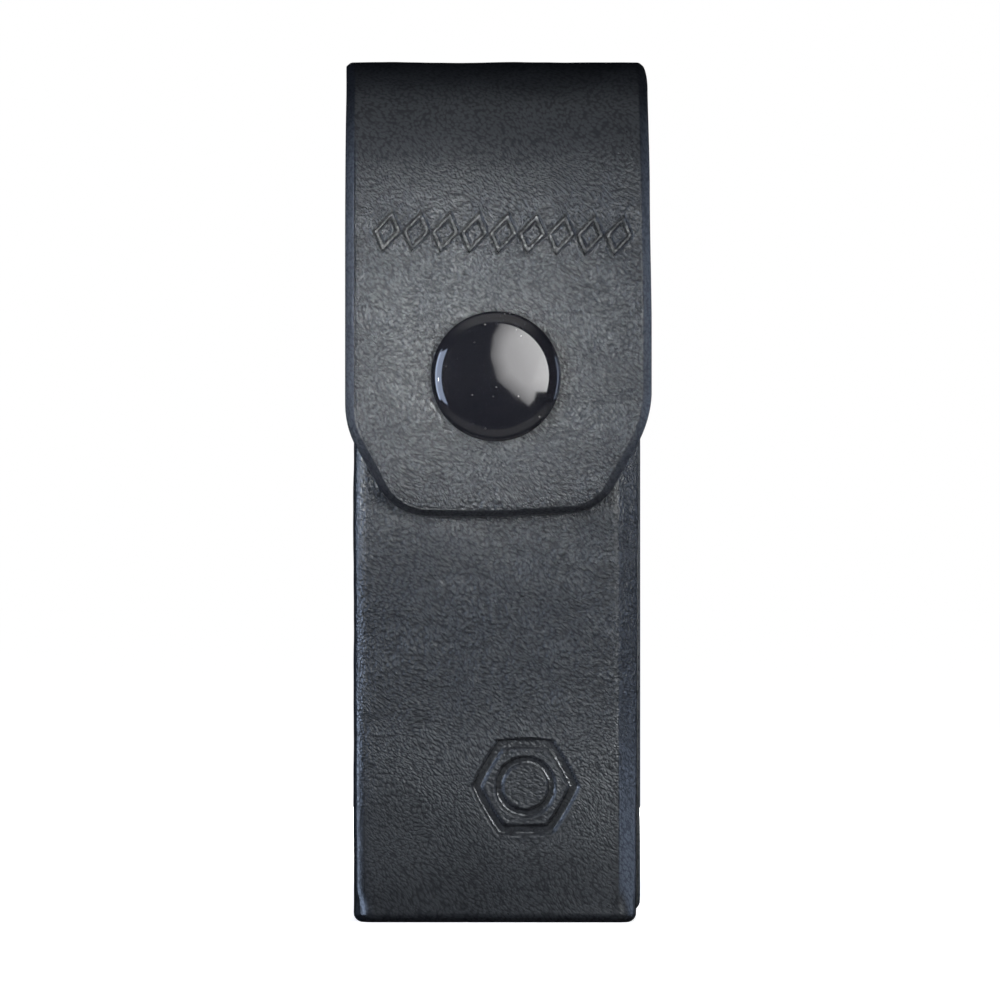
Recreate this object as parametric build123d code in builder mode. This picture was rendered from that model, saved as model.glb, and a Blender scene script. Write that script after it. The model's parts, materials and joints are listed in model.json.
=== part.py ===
"""Moulded leather belt sheath for a folding multi tool.

A stitched box pocket hangs from a belt loop. One strap of leather forms its back, folds over
the top and comes down the front as a flap that a press stud holds shut.

Millimetres. The front faces -Y, +X is to the right as seen from the front and +Z is up.
The origin is the centre of the bounding box's lower face.
"""

from build123d import *

import math
import os

# ---- driving dimensions -------------------------------------------------------------------
HEIGHT = 108.0
LEATHER = 1.8  # one thickness of hide
LINING = 0.6  # glued inner skin
GLUE_GAP = 0.15  # clearance between leather ends that turn against each other

SHELL_WIDTH = 35.2
POCKET_DEPTH = 18.6  # from the front lining to the seam flanges
CORNER_RADIUS = 2.3  # upright front corners of the pocket
BASE_RADIUS = 1.2
FLANGE_WIDTH = 5.2  # turned-in edge that the back panel is sewn to
MOUTH_FRONT = 84.0
MOUTH_REAR = 95.0
MOUTH_FLAT = 6.0  # level part of the mouth behind the front face
BACK_PANEL_WIDTH = 36.1

FLAP_WIDTH = 38.6
FLAP_REAR_WIDTH = 36.4
FLAP_TIP_Z = 50.6
FLAP_TIP_WIDTH = 24.2  # between the virtual lower corners
FLAP_TAPER_Z = 64.4  # where the straight sides start to taper
TIP_CORNER_RADIUS = 7.0
TAPER_CORNER_RADIUS = 6.0
TIP_CURL_RADIUS = 40.0  # the lower end curls in towards the pocket
TIP_CURL_HEIGHT = 9.4
BROW_RADIUS = 45.0  # gentle bend above the press stud
BROW_ANGLE = 20.0
SHOULDER_RADIUS = 13.0  # tighter bend over the top of the tool
SHOULDER_PIVOT_ANGLE = 35.0  # tangent's lean from upright where the shoulder bends most

SNAP_Z = 68.2
SNAP_GAP = 2.2  # between the flap's lining and the pocket's face, at the press stud
CAP_RADIUS = 8.1
CAP_HEIGHT = 2.0
SHEET_METAL = 0.4
POST_RADIUS = 1.8
POST_BORE = 1.3
FIT = 0.05  # clearance between metal parts and round them
STUD_FLANGE_RADIUS = 5.0

BELT_GAP = 4.6
LOOP_WIDTH = 26.0
LOOP_LOW_FOOT = (17.5, 27.0)  # lowest and highest z of each riveted end
LOOP_HIGH_FOOT = (86.5, 96.0)
LOOP_RAMP = 2.2
LOOP_BEND_RADIUS = 2.2
RIVET_SPACING = 14.0
RIVET_EDGE = 4.0  # from the free end of a foot
RIVET_HEAD_RADIUS = 3.4
RIVET_HEAD_HEIGHT = 1.3
RIVET_SHANK_RADIUS = 1.3

STITCH_PITCH = 3.1
STITCH_LENGTH = 2.5
THREAD_DIAMETER = 0.7
SEAM_INSET = 2.4  # from the shell's side to the side seams
GROOVE_WIDTH = 1.0
GROOVE_DEPTH = 0.55

# ---- derived places -----------------------------------------------------------------------
FRONT_STACK = CAP_HEIGHT + LEATHER + LINING + SNAP_GAP
POUCH_DEPTH = LEATHER + LINING + POCKET_DEPTH + LEATHER + LEATHER
BACK_STACK = BELT_GAP + LEATHER
POUCH_FRONT = FRONT_STACK - (FRONT_STACK + POUCH_DEPTH + BACK_STACK) / 2
BACK_FACE = POUCH_FRONT + POUCH_DEPTH
PANEL_FRONT = BACK_FACE - LEATHER
FLANGE_FRONT = PANEL_FRONT - LEATHER
FLAP_FACE = POUCH_FRONT - SNAP_GAP - LINING - LEATHER

HALF_SHELL = SHELL_WIDTH / 2
HALF_WINDOW = HALF_SHELL - FLANGE_WIDTH
FOLD_Y = BACK_FACE - LEATHER / 2
FOLD_Z = HEIGHT - LEATHER / 2
PANEL_TOP = FOLD_Z - LEATHER / 2 - GLUE_GAP

BROW_SIN = math.sin(math.radians(BROW_ANGLE))
BROW_COS = math.cos(math.radians(BROW_ANGLE))
SHOULDER_Z = HEIGHT - SHOULDER_RADIUS
SHOULDER_Y = FLAP_FACE + BROW_RADIUS - (BROW_RADIUS - SHOULDER_RADIUS) * BROW_COS
BROW_START_Z = SHOULDER_Z - (BROW_RADIUS - SHOULDER_RADIUS) * BROW_SIN
TIP_CURL_ANGLE = math.degrees(math.asin(TIP_CURL_HEIGHT / TIP_CURL_RADIUS))

SEAM_X = HALF_SHELL - SEAM_INSET
BASE_SEAM_Z = 3.4
SIDE_STITCHES = 29
BASE_STITCHES = 9

SNAP_AXIS = Axis((0, POUCH_FRONT, SNAP_Z), (0, -1, 0))
SNAP_SECTION = Plane(origin=(0, POUCH_FRONT, SNAP_Z), x_dir=(1, 0, 0), z_dir=(0, 0, -1))


# ---- helpers ------------------------------------------------------------------------------
def snap_face(lift):
    """Plane across the press stud's axis, this far in front of the pocket's face."""
    return Plane(origin=(0, POUCH_FRONT - lift, SNAP_Z), x_dir=(1, 0, 0), z_dir=(0, -1, 0))


def shoulder_point(depth, lean):
    """Point on the shoulder bend of a layer at this depth, where the tangent leans this much."""
    radius = SHOULDER_RADIUS - depth
    angle = math.radians(lean)
    return (SHOULDER_Y - radius * math.cos(angle), SHOULDER_Z + radius * math.sin(angle))


def front_line(depth, top_lean):
    """Side view of a flap layer at this depth under the outer face, from the tip to the shoulder."""
    curl = math.radians(TIP_CURL_ANGLE)
    radius = TIP_CURL_RADIUS - depth
    inset = radius * (1 - math.cos(curl))
    curl_top = FLAP_TIP_Z + TIP_CURL_HEIGHT
    start = (FLAP_FACE + depth + inset, curl_top - radius * math.sin(curl))
    tip = JernArc(start, (-math.sin(curl), math.cos(curl)), radius, -TIP_CURL_ANGLE)
    rise = Line(tip @ 1, (FLAP_FACE + depth, BROW_START_Z))
    brow = JernArc(rise @ 1, rise % 1, BROW_RADIUS - depth, -BROW_ANGLE)
    JernArc(brow @ 1, brow % 1, SHOULDER_RADIUS - depth, BROW_ANGLE - top_lean)


def bridge_line(depth, low_lean, rear_y):
    """Side view of a flap layer from the shoulder back over the top of the pocket."""
    lean = math.radians(low_lean)
    start = shoulder_point(depth, low_lean)
    bend = JernArc(start, (math.sin(lean), math.cos(lean)), SHOULDER_RADIUS - depth, low_lean - 90)
    Line(bend @ 1, (rear_y, HEIGHT - depth))


def dome(radius, rim, top):
    """Arc of a shallow dome's section, from its rim to its level crown on the axis."""
    rise = top - rim
    sphere = (radius**2 + rise**2) / (2 * rise)
    middle = radius / 2
    crown = top - sphere + math.sqrt(sphere**2 - middle**2)
    ThreePointArc((radius, rim), (middle, crown), (0, top))


def revolve_on_snap(*points):
    """Turns a closed outline of (radius, lift) points about the press stud's axis."""
    with BuildSketch(SNAP_SECTION) as section:
        with BuildLine():
            Polyline(*points, close=True)
        make_face()
    revolve(section.sketch, axis=SNAP_AXIS)


def cut_on_snap(radius, low, high):
    """Bores the part about the press stud's axis between two lifts."""
    with BuildSketch(snap_face(low)) as bore:
        Circle(radius)
    extrude(bore.sketch, amount=high - low, mode=Mode.SUBTRACT)


def cut_mouth():
    """Cuts the pocket's mouth: level behind the front face, then rising to the back panel."""
    with BuildSketch(Plane.YZ) as above:
        with BuildLine():
            Polyline(
                (POUCH_FRONT - LEATHER, MOUTH_FRONT),
                (POUCH_FRONT + MOUTH_FLAT, MOUTH_FRONT),
                (PANEL_FRONT + LEATHER, MOUTH_REAR + LEATHER),
                (POUCH_FRONT - LEATHER, MOUTH_REAR + LEATHER),
                close=True,
            )
        make_face()
    extrude(above.sketch, amount=SHELL_WIDTH, both=True, mode=Mode.SUBTRACT)


def flap_outline():
    """Front view of the flap: straight sides, then a taper to a rounded tip."""
    top = HEIGHT + LEATHER
    with BuildSketch(Plane.XZ) as outline:
        with BuildLine():
            Polyline(
                (-FLAP_TIP_WIDTH / 2, FLAP_TIP_Z - LINING),
                (FLAP_TIP_WIDTH / 2, FLAP_TIP_Z - LINING),
                (FLAP_WIDTH / 2, FLAP_TAPER_Z),
                (FLAP_WIDTH / 2, top),
                (-FLAP_WIDTH / 2, top),
                (-FLAP_WIDTH / 2, FLAP_TAPER_Z),
                close=True,
            )
        make_face()
        fillet(outline.vertices().group_by(Axis.Y)[0], TIP_CORNER_RADIUS)
        taper_corners = outline.vertices().group_by(Axis.Y)[-2]
        fillet(taper_corners, TAPER_CORNER_RADIUS)
    extrude(outline.sketch, amount=HEIGHT, both=True, mode=Mode.INTERSECT)


def bridge_outline():
    """Top view of the bridge: it narrows from the flap's width to the back panel's."""
    front_y = shoulder_point(LEATHER / 2, SHOULDER_PIVOT_ANGLE)[0] - LEATHER
    rear_y = BACK_FACE + LEATHER
    with BuildSketch(Plane.XY.offset(SHOULDER_Z - SHOULDER_RADIUS)) as outline:
        with BuildLine():
            Polyline(
                (-FLAP_WIDTH / 2, front_y),
                (FLAP_WIDTH / 2, front_y),
                (FLAP_REAR_WIDTH / 2, rear_y),
                (-FLAP_REAR_WIDTH / 2, rear_y),
                close=True,
            )
        make_face()
    extrude(outline.sketch, amount=HEIGHT, mode=Mode.INTERSECT)


def save(builder, name):
    """Labels a finished piece and writes it as one STEP file."""
    builder.part.label = name
    export_step(builder.part, f"parts/{name}.step")


def rivet_points():
    """Rivet centres on the back panel, as (x, z)."""
    rows = (LOOP_LOW_FOOT[0] + RIVET_EDGE, LOOP_HIGH_FOOT[1] - RIVET_EDGE)
    return [(x, z) for z in rows for x in (-RIVET_SPACING / 2, RIVET_SPACING / 2)]


def bore_rivet_holes(start_y, radius, depth):
    """Bores the part at each rivet, from this depth plane towards the back."""
    with BuildSketch(Plane.XZ.offset(-start_y)) as bores:
        with Locations(*rivet_points()):
            Circle(radius)
    extrude(bores.sketch, amount=-depth, mode=Mode.SUBTRACT)


os.makedirs("parts", exist_ok=True)

# ---- pocket -------------------------------------------------------------------------------
SHELL_DEPTH = PANEL_FRONT - POUCH_FRONT
LINED_WIDTH = SHELL_WIDTH - 2 * LEATHER
LINED_DEPTH = LINING + POCKET_DEPTH

with BuildPart() as front_shell:
    with BuildSketch(Plane.XY):
        with Locations((0, POUCH_FRONT + SHELL_DEPTH / 2)):
            Rectangle(SHELL_WIDTH, SHELL_DEPTH)
    extrude(amount=MOUTH_REAR)
    fillet(front_shell.edges().filter_by(Axis.Z).group_by(Axis.Y)[0], CORNER_RADIUS)
    base_edges = front_shell.edges().group_by(Axis.Z)[0]
    fillet(base_edges.sort_by(Axis.Y)[:-1], BASE_RADIUS)
    with BuildSketch(Plane.XY.offset(LEATHER)):
        with Locations((0, POUCH_FRONT + LEATHER + LINED_DEPTH / 2)):
            RectangleRounded(LINED_WIDTH, LINED_DEPTH, CORNER_RADIUS - LEATHER)
    extrude(amount=HEIGHT, mode=Mode.SUBTRACT)
    with BuildSketch(Plane.XY.offset(LEATHER + FLANGE_WIDTH)):
        with Locations((0, FLANGE_FRONT + LEATHER / 2)):
            Rectangle(2 * HALF_WINDOW, 2 * LEATHER)
    extrude(amount=HEIGHT, mode=Mode.SUBTRACT)
    cut_mouth()
    cut_on_snap(POST_RADIUS + FIT, -LEATHER, 0)
    cut_on_snap(STUD_FLANGE_RADIUS + FIT, -LEATHER, SHEET_METAL - LEATHER)
save(front_shell, "front_shell")

with BuildPart() as shell_lining:
    with BuildSketch(Plane.XY.offset(LEATHER)):
        with Locations((0, POUCH_FRONT + LEATHER + LINED_DEPTH / 2)):
            RectangleRounded(LINED_WIDTH, LINED_DEPTH, CORNER_RADIUS - LEATHER)
    extrude(amount=MOUTH_REAR - LEATHER)
    with BuildSketch(Plane.XY.offset(LEATHER + LINING)):
        with Locations((0, POUCH_FRONT + LEATHER + LINING + POCKET_DEPTH)):
            Rectangle(LINED_WIDTH - 2 * LINING, 2 * POCKET_DEPTH)
    extrude(amount=HEIGHT, mode=Mode.SUBTRACT)
    cut_mouth()
save(shell_lining, "shell_lining")

# ---- back panel ---------------------------------------------------------------------------
PANEL_BASE = 0.3
PATCH_RADIUS = 1.0  # corners of the back lining
SEAM_TOP = BASE_SEAM_Z + SIDE_STITCHES * STITCH_PITCH

with BuildPart() as back_panel:
    with BuildSketch(Plane.XZ.offset(-BACK_FACE)):
        with Locations((0, (PANEL_BASE + PANEL_TOP) / 2)):
            Rectangle(BACK_PANEL_WIDTH, PANEL_TOP - PANEL_BASE)
    extrude(amount=LEATHER)
    fillet(back_panel.edges().filter_by(Axis.Y).group_by(Axis.Z)[0], BASE_RADIUS)
    with BuildSketch(Plane.XZ.offset(-BACK_FACE)):
        seam_middle = (BASE_SEAM_Z + SEAM_TOP) / 2
        with Locations((-SEAM_X, seam_middle), (SEAM_X, seam_middle)):
            SlotOverall(SEAM_TOP - BASE_SEAM_Z + STITCH_PITCH, GROOVE_WIDTH, rotation=90)
        with Locations((0, BASE_SEAM_Z)):
            Rectangle(2 * SEAM_X, GROOVE_WIDTH)
    extrude(amount=GROOVE_DEPTH, mode=Mode.SUBTRACT)
    bore_rivet_holes(PANEL_FRONT, RIVET_HEAD_RADIUS + FIT, SHEET_METAL)
    bore_rivet_holes(PANEL_FRONT, RIVET_SHANK_RADIUS + FIT, LEATHER)
save(back_panel, "back_panel")

LINING_BASE = LEATHER + FLANGE_WIDTH + GLUE_GAP
LINING_TOP = HEIGHT - LEATHER - LINING - 2 * GLUE_GAP
with BuildPart() as back_lining:
    with BuildSketch(Plane.XZ.offset(-PANEL_FRONT)):
        with Locations((0, (LINING_BASE + LINING_TOP) / 2)):
            RectangleRounded(2 * (HALF_WINDOW - GLUE_GAP), LINING_TOP - LINING_BASE, PATCH_RADIUS)
    extrude(amount=LINING)
save(back_lining, "back_lining")

# ---- seams --------------------------------------------------------------------------------
THREAD_Y = BACK_FACE - GROOVE_DEPTH + THREAD_DIAMETER / 2 + GLUE_GAP / 3

with BuildPart() as stitch:
    with BuildSketch(Plane.YZ):
        SlotOverall(STITCH_LENGTH, THREAD_DIAMETER, rotation=90)
        Rectangle(THREAD_DIAMETER, 2 * STITCH_LENGTH, align=(Align.MAX, Align.CENTER), mode=Mode.SUBTRACT)
    revolve(axis=Axis.Z)

side_steps = [BASE_SEAM_Z + (i + 0.5) * STITCH_PITCH for i in range(SIDE_STITCHES)]
for seam_name, seam_x in (("left_seam_thread", -SEAM_X), ("right_seam_thread", SEAM_X)):
    with BuildPart() as side_seam:
        with Locations(*[(seam_x, THREAD_Y, z) for z in side_steps]):
            add(stitch.part)
    save(side_seam, seam_name)

with BuildPart() as base_seam:
    first_x = -(BASE_STITCHES - 1) / 2 * STITCH_PITCH
    base_steps = [first_x + i * STITCH_PITCH for i in range(BASE_STITCHES)]
    with Locations(*[Location((x, THREAD_Y, BASE_SEAM_Z), (0, 90, 0)) for x in base_steps]):
        add(stitch.part)
save(base_seam, "base_seam_thread")

# ---- belt loop ----------------------------------------------------------------------------
FOOT_Y = BACK_FACE + LEATHER / 2
LOOP_Y = BACK_FACE + BELT_GAP + LEATHER / 2

with BuildPart() as belt_loop:
    with BuildSketch(Plane.YZ):
        with BuildLine():
            FilletPolyline(
                (FOOT_Y, LOOP_LOW_FOOT[0]),
                (FOOT_Y, LOOP_LOW_FOOT[1]),
                (LOOP_Y, LOOP_LOW_FOOT[1] + LOOP_RAMP),
                (LOOP_Y, LOOP_HIGH_FOOT[0] - LOOP_RAMP),
                (FOOT_Y, LOOP_HIGH_FOOT[0]),
                (FOOT_Y, LOOP_HIGH_FOOT[1]),
                radius=LOOP_BEND_RADIUS,
            )
        trace(line_width=LEATHER)
    extrude(amount=LOOP_WIDTH / 2, both=True)
    bore_rivet_holes(BACK_FACE, RIVET_SHANK_RADIUS + FIT, LEATHER)
save(belt_loop, "belt_loop")

HEAD_BASE = LEATHER  # heads sit on the loop's foot, measured from the back face
SHANK_TOP = HEAD_BASE + RIVET_HEAD_HEIGHT / 2

with BuildPart() as rivet_cap:
    with BuildSketch(Plane.XY):
        with BuildLine():
            Polyline(
                (0, HEAD_BASE + RIVET_HEAD_HEIGHT),
                (0, SHANK_TOP + FIT),
                (RIVET_SHANK_RADIUS + FIT, SHANK_TOP + FIT),
                (RIVET_SHANK_RADIUS + FIT, HEAD_BASE),
                (RIVET_HEAD_RADIUS, HEAD_BASE),
                (RIVET_HEAD_RADIUS, HEAD_BASE + SHEET_METAL),
            )
            dome(RIVET_HEAD_RADIUS, HEAD_BASE + SHEET_METAL, HEAD_BASE + RIVET_HEAD_HEIGHT)
        make_face()
    revolve(axis=Axis.Y)

with BuildPart() as rivet_post:
    with BuildSketch(Plane.XY):
        with BuildLine():
            Polyline(
                (0, -LEATHER),
                (RIVET_HEAD_RADIUS, -LEATHER),
                (RIVET_HEAD_RADIUS, SHEET_METAL - LEATHER),
                (RIVET_SHANK_RADIUS, SHEET_METAL - LEATHER),
                (RIVET_SHANK_RADIUS, SHANK_TOP),
                (0, SHANK_TOP),
                close=True,
            )
        make_face()
    revolve(axis=Axis.Y)

for rivet_name, rivet_half in (("rivet_caps", rivet_cap), ("rivet_posts", rivet_post)):
    with BuildPart() as rivet_group:
        with Locations(*[(x, BACK_FACE, z) for x, z in rivet_points()]):
            add(rivet_half.part)
    save(rivet_group, rivet_name)

# ---- flap ---------------------------------------------------------------------------------
PIVOT = shoulder_point(LEATHER / 2, SHOULDER_PIVOT_ANGLE)
BEAD_RADIUS = LEATHER / 2
PIVOT_RELIEF = 1.25
LINING_DEPTH = LEATHER + LINING / 2
LINING_SPLIT = 4.0  # degrees of shoulder left bare each side of the pivot
SOCKET_RADIUS = 6.2

with BuildPart() as flap_bridge:
    with BuildSketch(Plane.YZ):
        with BuildLine():
            bridge_line(LEATHER / 2, SHOULDER_PIVOT_ANGLE, FOLD_Y)
        trace(line_width=LEATHER)
        with Locations((FOLD_Y, FOLD_Z)):
            Circle(BEAD_RADIUS)
        with Locations(PIVOT):
            Circle(PIVOT_RELIEF, mode=Mode.SUBTRACT)
    extrude(amount=FLAP_WIDTH / 2, both=True)
    bridge_outline()
save(flap_bridge, "flap_bridge")

with BuildPart() as bridge_lining:
    with BuildSketch(Plane.YZ):
        with BuildLine():
            bridge_line(LINING_DEPTH, SHOULDER_PIVOT_ANGLE + LINING_SPLIT, PANEL_FRONT - LINING - GLUE_GAP)
        trace(line_width=LINING)
    extrude(amount=FLAP_WIDTH / 2, both=True)
    bridge_outline()
save(bridge_lining, "bridge_lining")

SOCKET_BASE = SNAP_GAP + LINING  # lift of the socket's upper face, under the flap leather
FLAP_TOP_LIFT = SOCKET_BASE + LEATHER

with BuildPart() as flap_front:
    with BuildSketch(Plane.YZ):
        with BuildLine():
            front_line(LEATHER / 2, SHOULDER_PIVOT_ANGLE)
        trace(line_width=LEATHER)
        with Locations(PIVOT):
            Circle(BEAD_RADIUS)
    extrude(amount=FLAP_WIDTH / 2, both=True)
    flap_outline()
    cut_on_snap(POST_RADIUS + FIT, SOCKET_BASE, FLAP_TOP_LIFT)
save(flap_front, "flap_front")

with BuildPart() as flap_lining:
    with BuildSketch(Plane.YZ):
        with BuildLine():
            front_line(LINING_DEPTH, SHOULDER_PIVOT_ANGLE - LINING_SPLIT)
        trace(line_width=LINING)
    extrude(amount=FLAP_WIDTH / 2, both=True)
    flap_outline()
    cut_on_snap(SOCKET_RADIUS + GLUE_GAP, SNAP_GAP, SOCKET_BASE)
save(flap_lining, "flap_lining")

# ---- press stud ---------------------------------------------------------------------------
KNOB_RADIUS = 3.05
KNOB_NECK = 2.6
KNOB_NECK_TOP = 1.4
KNOB_BULGE = 1.65  # lift where the knob is widest
KNOB_TOP = 1.9
THROAT_RADIUS = 3.4
FLARE_RADIUS = 2.25
STUD_FLARE_LIFT = 1.0

with BuildPart() as snap_stud:
    revolve_on_snap(
        (POST_RADIUS + FIT, 0),
        (STUD_FLANGE_RADIUS, 0),
        (STUD_FLANGE_RADIUS, SHEET_METAL),
        (KNOB_NECK, SHEET_METAL),
        (KNOB_NECK, KNOB_NECK_TOP),
        (KNOB_RADIUS, KNOB_BULGE),
        (KNOB_NECK, KNOB_TOP),
        (FLARE_RADIUS + FIT, KNOB_TOP),
        (FLARE_RADIUS + FIT, STUD_FLARE_LIFT),
        (POST_RADIUS + FIT, STUD_FLARE_LIFT),
    )
save(snap_stud, "snap_stud")

with BuildPart() as stud_post:
    revolve_on_snap(
        (POST_BORE, -LEATHER),
        (STUD_FLANGE_RADIUS, -LEATHER),
        (STUD_FLANGE_RADIUS, SHEET_METAL - LEATHER),
        (POST_RADIUS, SHEET_METAL - LEATHER),
        (POST_RADIUS, STUD_FLARE_LIFT),
        (FLARE_RADIUS, STUD_FLARE_LIFT),
        (FLARE_RADIUS, STUD_FLARE_LIFT + SHEET_METAL),
        (POST_BORE, STUD_FLARE_LIFT + SHEET_METAL),
    )
save(stud_post, "stud_post")

SOCKET_LOW = SHEET_METAL + 2 * FIT
SPRING_LOW = SOCKET_LOW + SHEET_METAL
SPRING_WIRE = 0.5

with BuildPart() as snap_socket:
    revolve_on_snap(
        (THROAT_RADIUS, SOCKET_LOW),
        (SOCKET_RADIUS, SOCKET_LOW),
        (SOCKET_RADIUS, SOCKET_BASE),
        (POST_RADIUS + FIT, SOCKET_BASE),
        (POST_RADIUS + FIT, SOCKET_BASE - SHEET_METAL),
        (SOCKET_RADIUS - SHEET_METAL, SOCKET_BASE - SHEET_METAL),
        (SOCKET_RADIUS - SHEET_METAL, SPRING_LOW),
        (THROAT_RADIUS, SPRING_LOW),
    )
save(snap_socket, "snap_socket")

SPRING_X = KNOB_NECK + SPRING_WIRE / 2 + 2 * FIT
SPRING_Y = POUCH_FRONT - SPRING_LOW - FIT - SPRING_WIRE / 2
SPRING_LENGTH = 7.8
with BuildPart() as socket_spring:
    with BuildSketch(Plane.XY.offset(SNAP_Z)):
        with Locations((-SPRING_X, SPRING_Y), (SPRING_X, SPRING_Y)):
            Circle(SPRING_WIRE / 2)
    extrude(amount=SPRING_LENGTH / 2, both=True)
save(socket_spring, "socket_spring")

CAP_FLANGE_RADIUS = 7.2
CAP_FLARE_LIFT = SOCKET_BASE - SHEET_METAL
CAP_CURL_RADIUS = 5.6
CAP_FACE_RADIUS = 6.6
CAP_EDGE_DROP = 0.45  # from the crown to the edge of the domed face
CAP_BEVEL = 0.3
FLARE_DROP = 0.35
CAP_SEAT = FLAP_TOP_LIFT + SHEET_METAL

with BuildPart() as cap_post:
    revolve_on_snap(
        (POST_BORE, CAP_FLARE_LIFT - FLARE_DROP),
        (FLARE_RADIUS, CAP_FLARE_LIFT - FLARE_DROP),
        (FLARE_RADIUS, CAP_FLARE_LIFT),
        (POST_RADIUS, CAP_FLARE_LIFT),
        (POST_RADIUS, CAP_SEAT),
        (CAP_FLANGE_RADIUS, CAP_SEAT),
        (CAP_FLANGE_RADIUS, CAP_SEAT + SHEET_METAL),
        (POST_BORE, CAP_SEAT + SHEET_METAL),
    )
save(cap_post, "cap_post")

CAP_TOP = FLAP_TOP_LIFT + CAP_HEIGHT
CAP_EDGE_TOP = CAP_TOP - CAP_EDGE_DROP
CAP_INNER_TOP = CAP_SEAT + SHEET_METAL + FIT
with BuildPart() as snap_cap:
    with BuildSketch(SNAP_SECTION):
        with BuildLine():
            Polyline(
                (0, CAP_TOP),
                (0, CAP_TOP - SHEET_METAL),
                (CAP_FACE_RADIUS - SHEET_METAL / 2, CAP_EDGE_TOP - SHEET_METAL),
                (CAP_FLANGE_RADIUS + FIT, CAP_INNER_TOP),
                (CAP_FLANGE_RADIUS + FIT, CAP_SEAT - FIT),
                (CAP_CURL_RADIUS, CAP_SEAT - FIT),
                (CAP_CURL_RADIUS, FLAP_TOP_LIFT),
                (CAP_RADIUS - CAP_BEVEL, FLAP_TOP_LIFT),
                (CAP_RADIUS, FLAP_TOP_LIFT + CAP_BEVEL),
                (CAP_RADIUS, CAP_SEAT + CAP_BEVEL),
                (CAP_FACE_RADIUS, CAP_EDGE_TOP),
            )
            dome(CAP_FACE_RADIUS, CAP_EDGE_TOP, CAP_TOP)
        make_face()
    revolve(axis=SNAP_AXIS)
save(snap_cap, "snap_cap")
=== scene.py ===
"""Looks of a moulded leather belt sheath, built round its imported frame.

The frame is in metres: the front faces -Y, +X is to the right as seen from the front and +Z is up.
Shapes are worked out in millimetres and scaled by MM as their meshes are made.
"""

import json
import math

import bmesh
import bpy
import numpy as np
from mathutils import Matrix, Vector, noise


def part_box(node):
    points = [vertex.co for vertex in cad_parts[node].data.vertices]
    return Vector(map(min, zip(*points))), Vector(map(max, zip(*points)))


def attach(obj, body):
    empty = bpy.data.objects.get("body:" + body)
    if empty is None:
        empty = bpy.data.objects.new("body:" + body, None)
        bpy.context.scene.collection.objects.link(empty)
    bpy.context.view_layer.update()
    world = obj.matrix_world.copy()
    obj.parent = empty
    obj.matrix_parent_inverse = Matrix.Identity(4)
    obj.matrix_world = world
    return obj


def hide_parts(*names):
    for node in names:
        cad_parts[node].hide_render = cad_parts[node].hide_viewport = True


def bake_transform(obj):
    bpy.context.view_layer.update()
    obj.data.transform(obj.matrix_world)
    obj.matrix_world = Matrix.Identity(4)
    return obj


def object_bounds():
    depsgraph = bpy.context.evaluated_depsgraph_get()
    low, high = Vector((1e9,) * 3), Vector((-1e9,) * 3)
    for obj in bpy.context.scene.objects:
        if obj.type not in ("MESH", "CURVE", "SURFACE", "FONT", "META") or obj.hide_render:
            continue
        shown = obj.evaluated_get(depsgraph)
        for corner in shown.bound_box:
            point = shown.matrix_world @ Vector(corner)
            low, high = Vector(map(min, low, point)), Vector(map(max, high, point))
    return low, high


MM = 0.001

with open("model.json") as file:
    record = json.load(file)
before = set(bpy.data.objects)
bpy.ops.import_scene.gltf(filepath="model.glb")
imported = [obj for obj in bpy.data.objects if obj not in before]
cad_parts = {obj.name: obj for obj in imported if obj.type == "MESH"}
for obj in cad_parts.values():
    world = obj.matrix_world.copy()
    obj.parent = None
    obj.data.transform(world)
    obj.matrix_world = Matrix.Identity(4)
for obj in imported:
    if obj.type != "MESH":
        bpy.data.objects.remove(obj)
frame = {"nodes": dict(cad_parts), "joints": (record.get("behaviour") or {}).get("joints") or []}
cad_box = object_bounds()


# ---- places taken from the frame ----
def box_mm(node):
    """Lowest and highest corner of a CAD node, in millimetres."""
    low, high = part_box(node)
    return np.array(low) / MM, np.array(high) / MM


def joint_mm(name):
    """Position of a joint's axis, in millimetres."""
    joint = next(j for j in frame["joints"] if j["name"] == name)
    return np.array(joint["pos_m"]) / MM


SHELL_LOW, SHELL_HIGH = box_mm("front_shell")
PANEL_LOW, PANEL_HIGH = box_mm("back_panel")
PATCH_LOW, PATCH_HIGH = box_mm("back_lining")
FLAP_LOW, FLAP_HIGH = box_mm("flap_front")
CAP_LOW, CAP_HIGH = box_mm("snap_cap")
LOOP_LOW, LOOP_HIGH = box_mm("belt_loop")
FOLD = joint_mm("flap_fold")

HEIGHT = cad_box[1].z / MM
LEATHER = PANEL_HIGH[1] - PANEL_LOW[1]
LINING = PATCH_HIGH[1] - PATCH_LOW[1]
FLAP_FACE = FLAP_LOW[1]
SNAP_Z = (CAP_LOW[2] + CAP_HIGH[2]) / 2
CAP_RADIUS = CAP_HIGH[0]

# ---- shape values, as in the CAD model ----
SHOULDER_RADIUS = 13.0
BROW_RADIUS = 45.0
BROW_ANGLE = 20.0
CURL_RADIUS = 40.0
CURL_HEIGHT = 9.4
MOUTH_FRONT = 84.0
MOUTH_FLAT = 6.0
POCKET_CORNER = 2.3
POCKET_REAR_CORNER = 2.0
BASE_ROUND = 1.2

RIM_STEPS = [math.sin(math.radians(a)) for a in (90, 76, 62, 48, 34, 20, 8)]


# ---- small helpers ----
def smoothstep(low, high, value):
    """0 below low, 1 above high and smooth between, for numbers or arrays."""
    t = np.clip((value - low) / (high - low), 0, 1)
    return t * t * (3 - 2 * t)


def smooth_knots(value, knots):
    """A curve through (place, height) knots that is level at each of them."""
    total = np.full(np.shape(value), float(knots[0][1]))
    for (p0, h0), (p1, h1) in zip(knots, knots[1:]):
        total = total + (h1 - h0) * smoothstep(p0, p1, value)
    return total


def bell(offset, width):
    """1 where the offset is zero, falling smoothly to nothing at about twice the width."""
    return np.exp(-((offset / width) ** 2))


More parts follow.
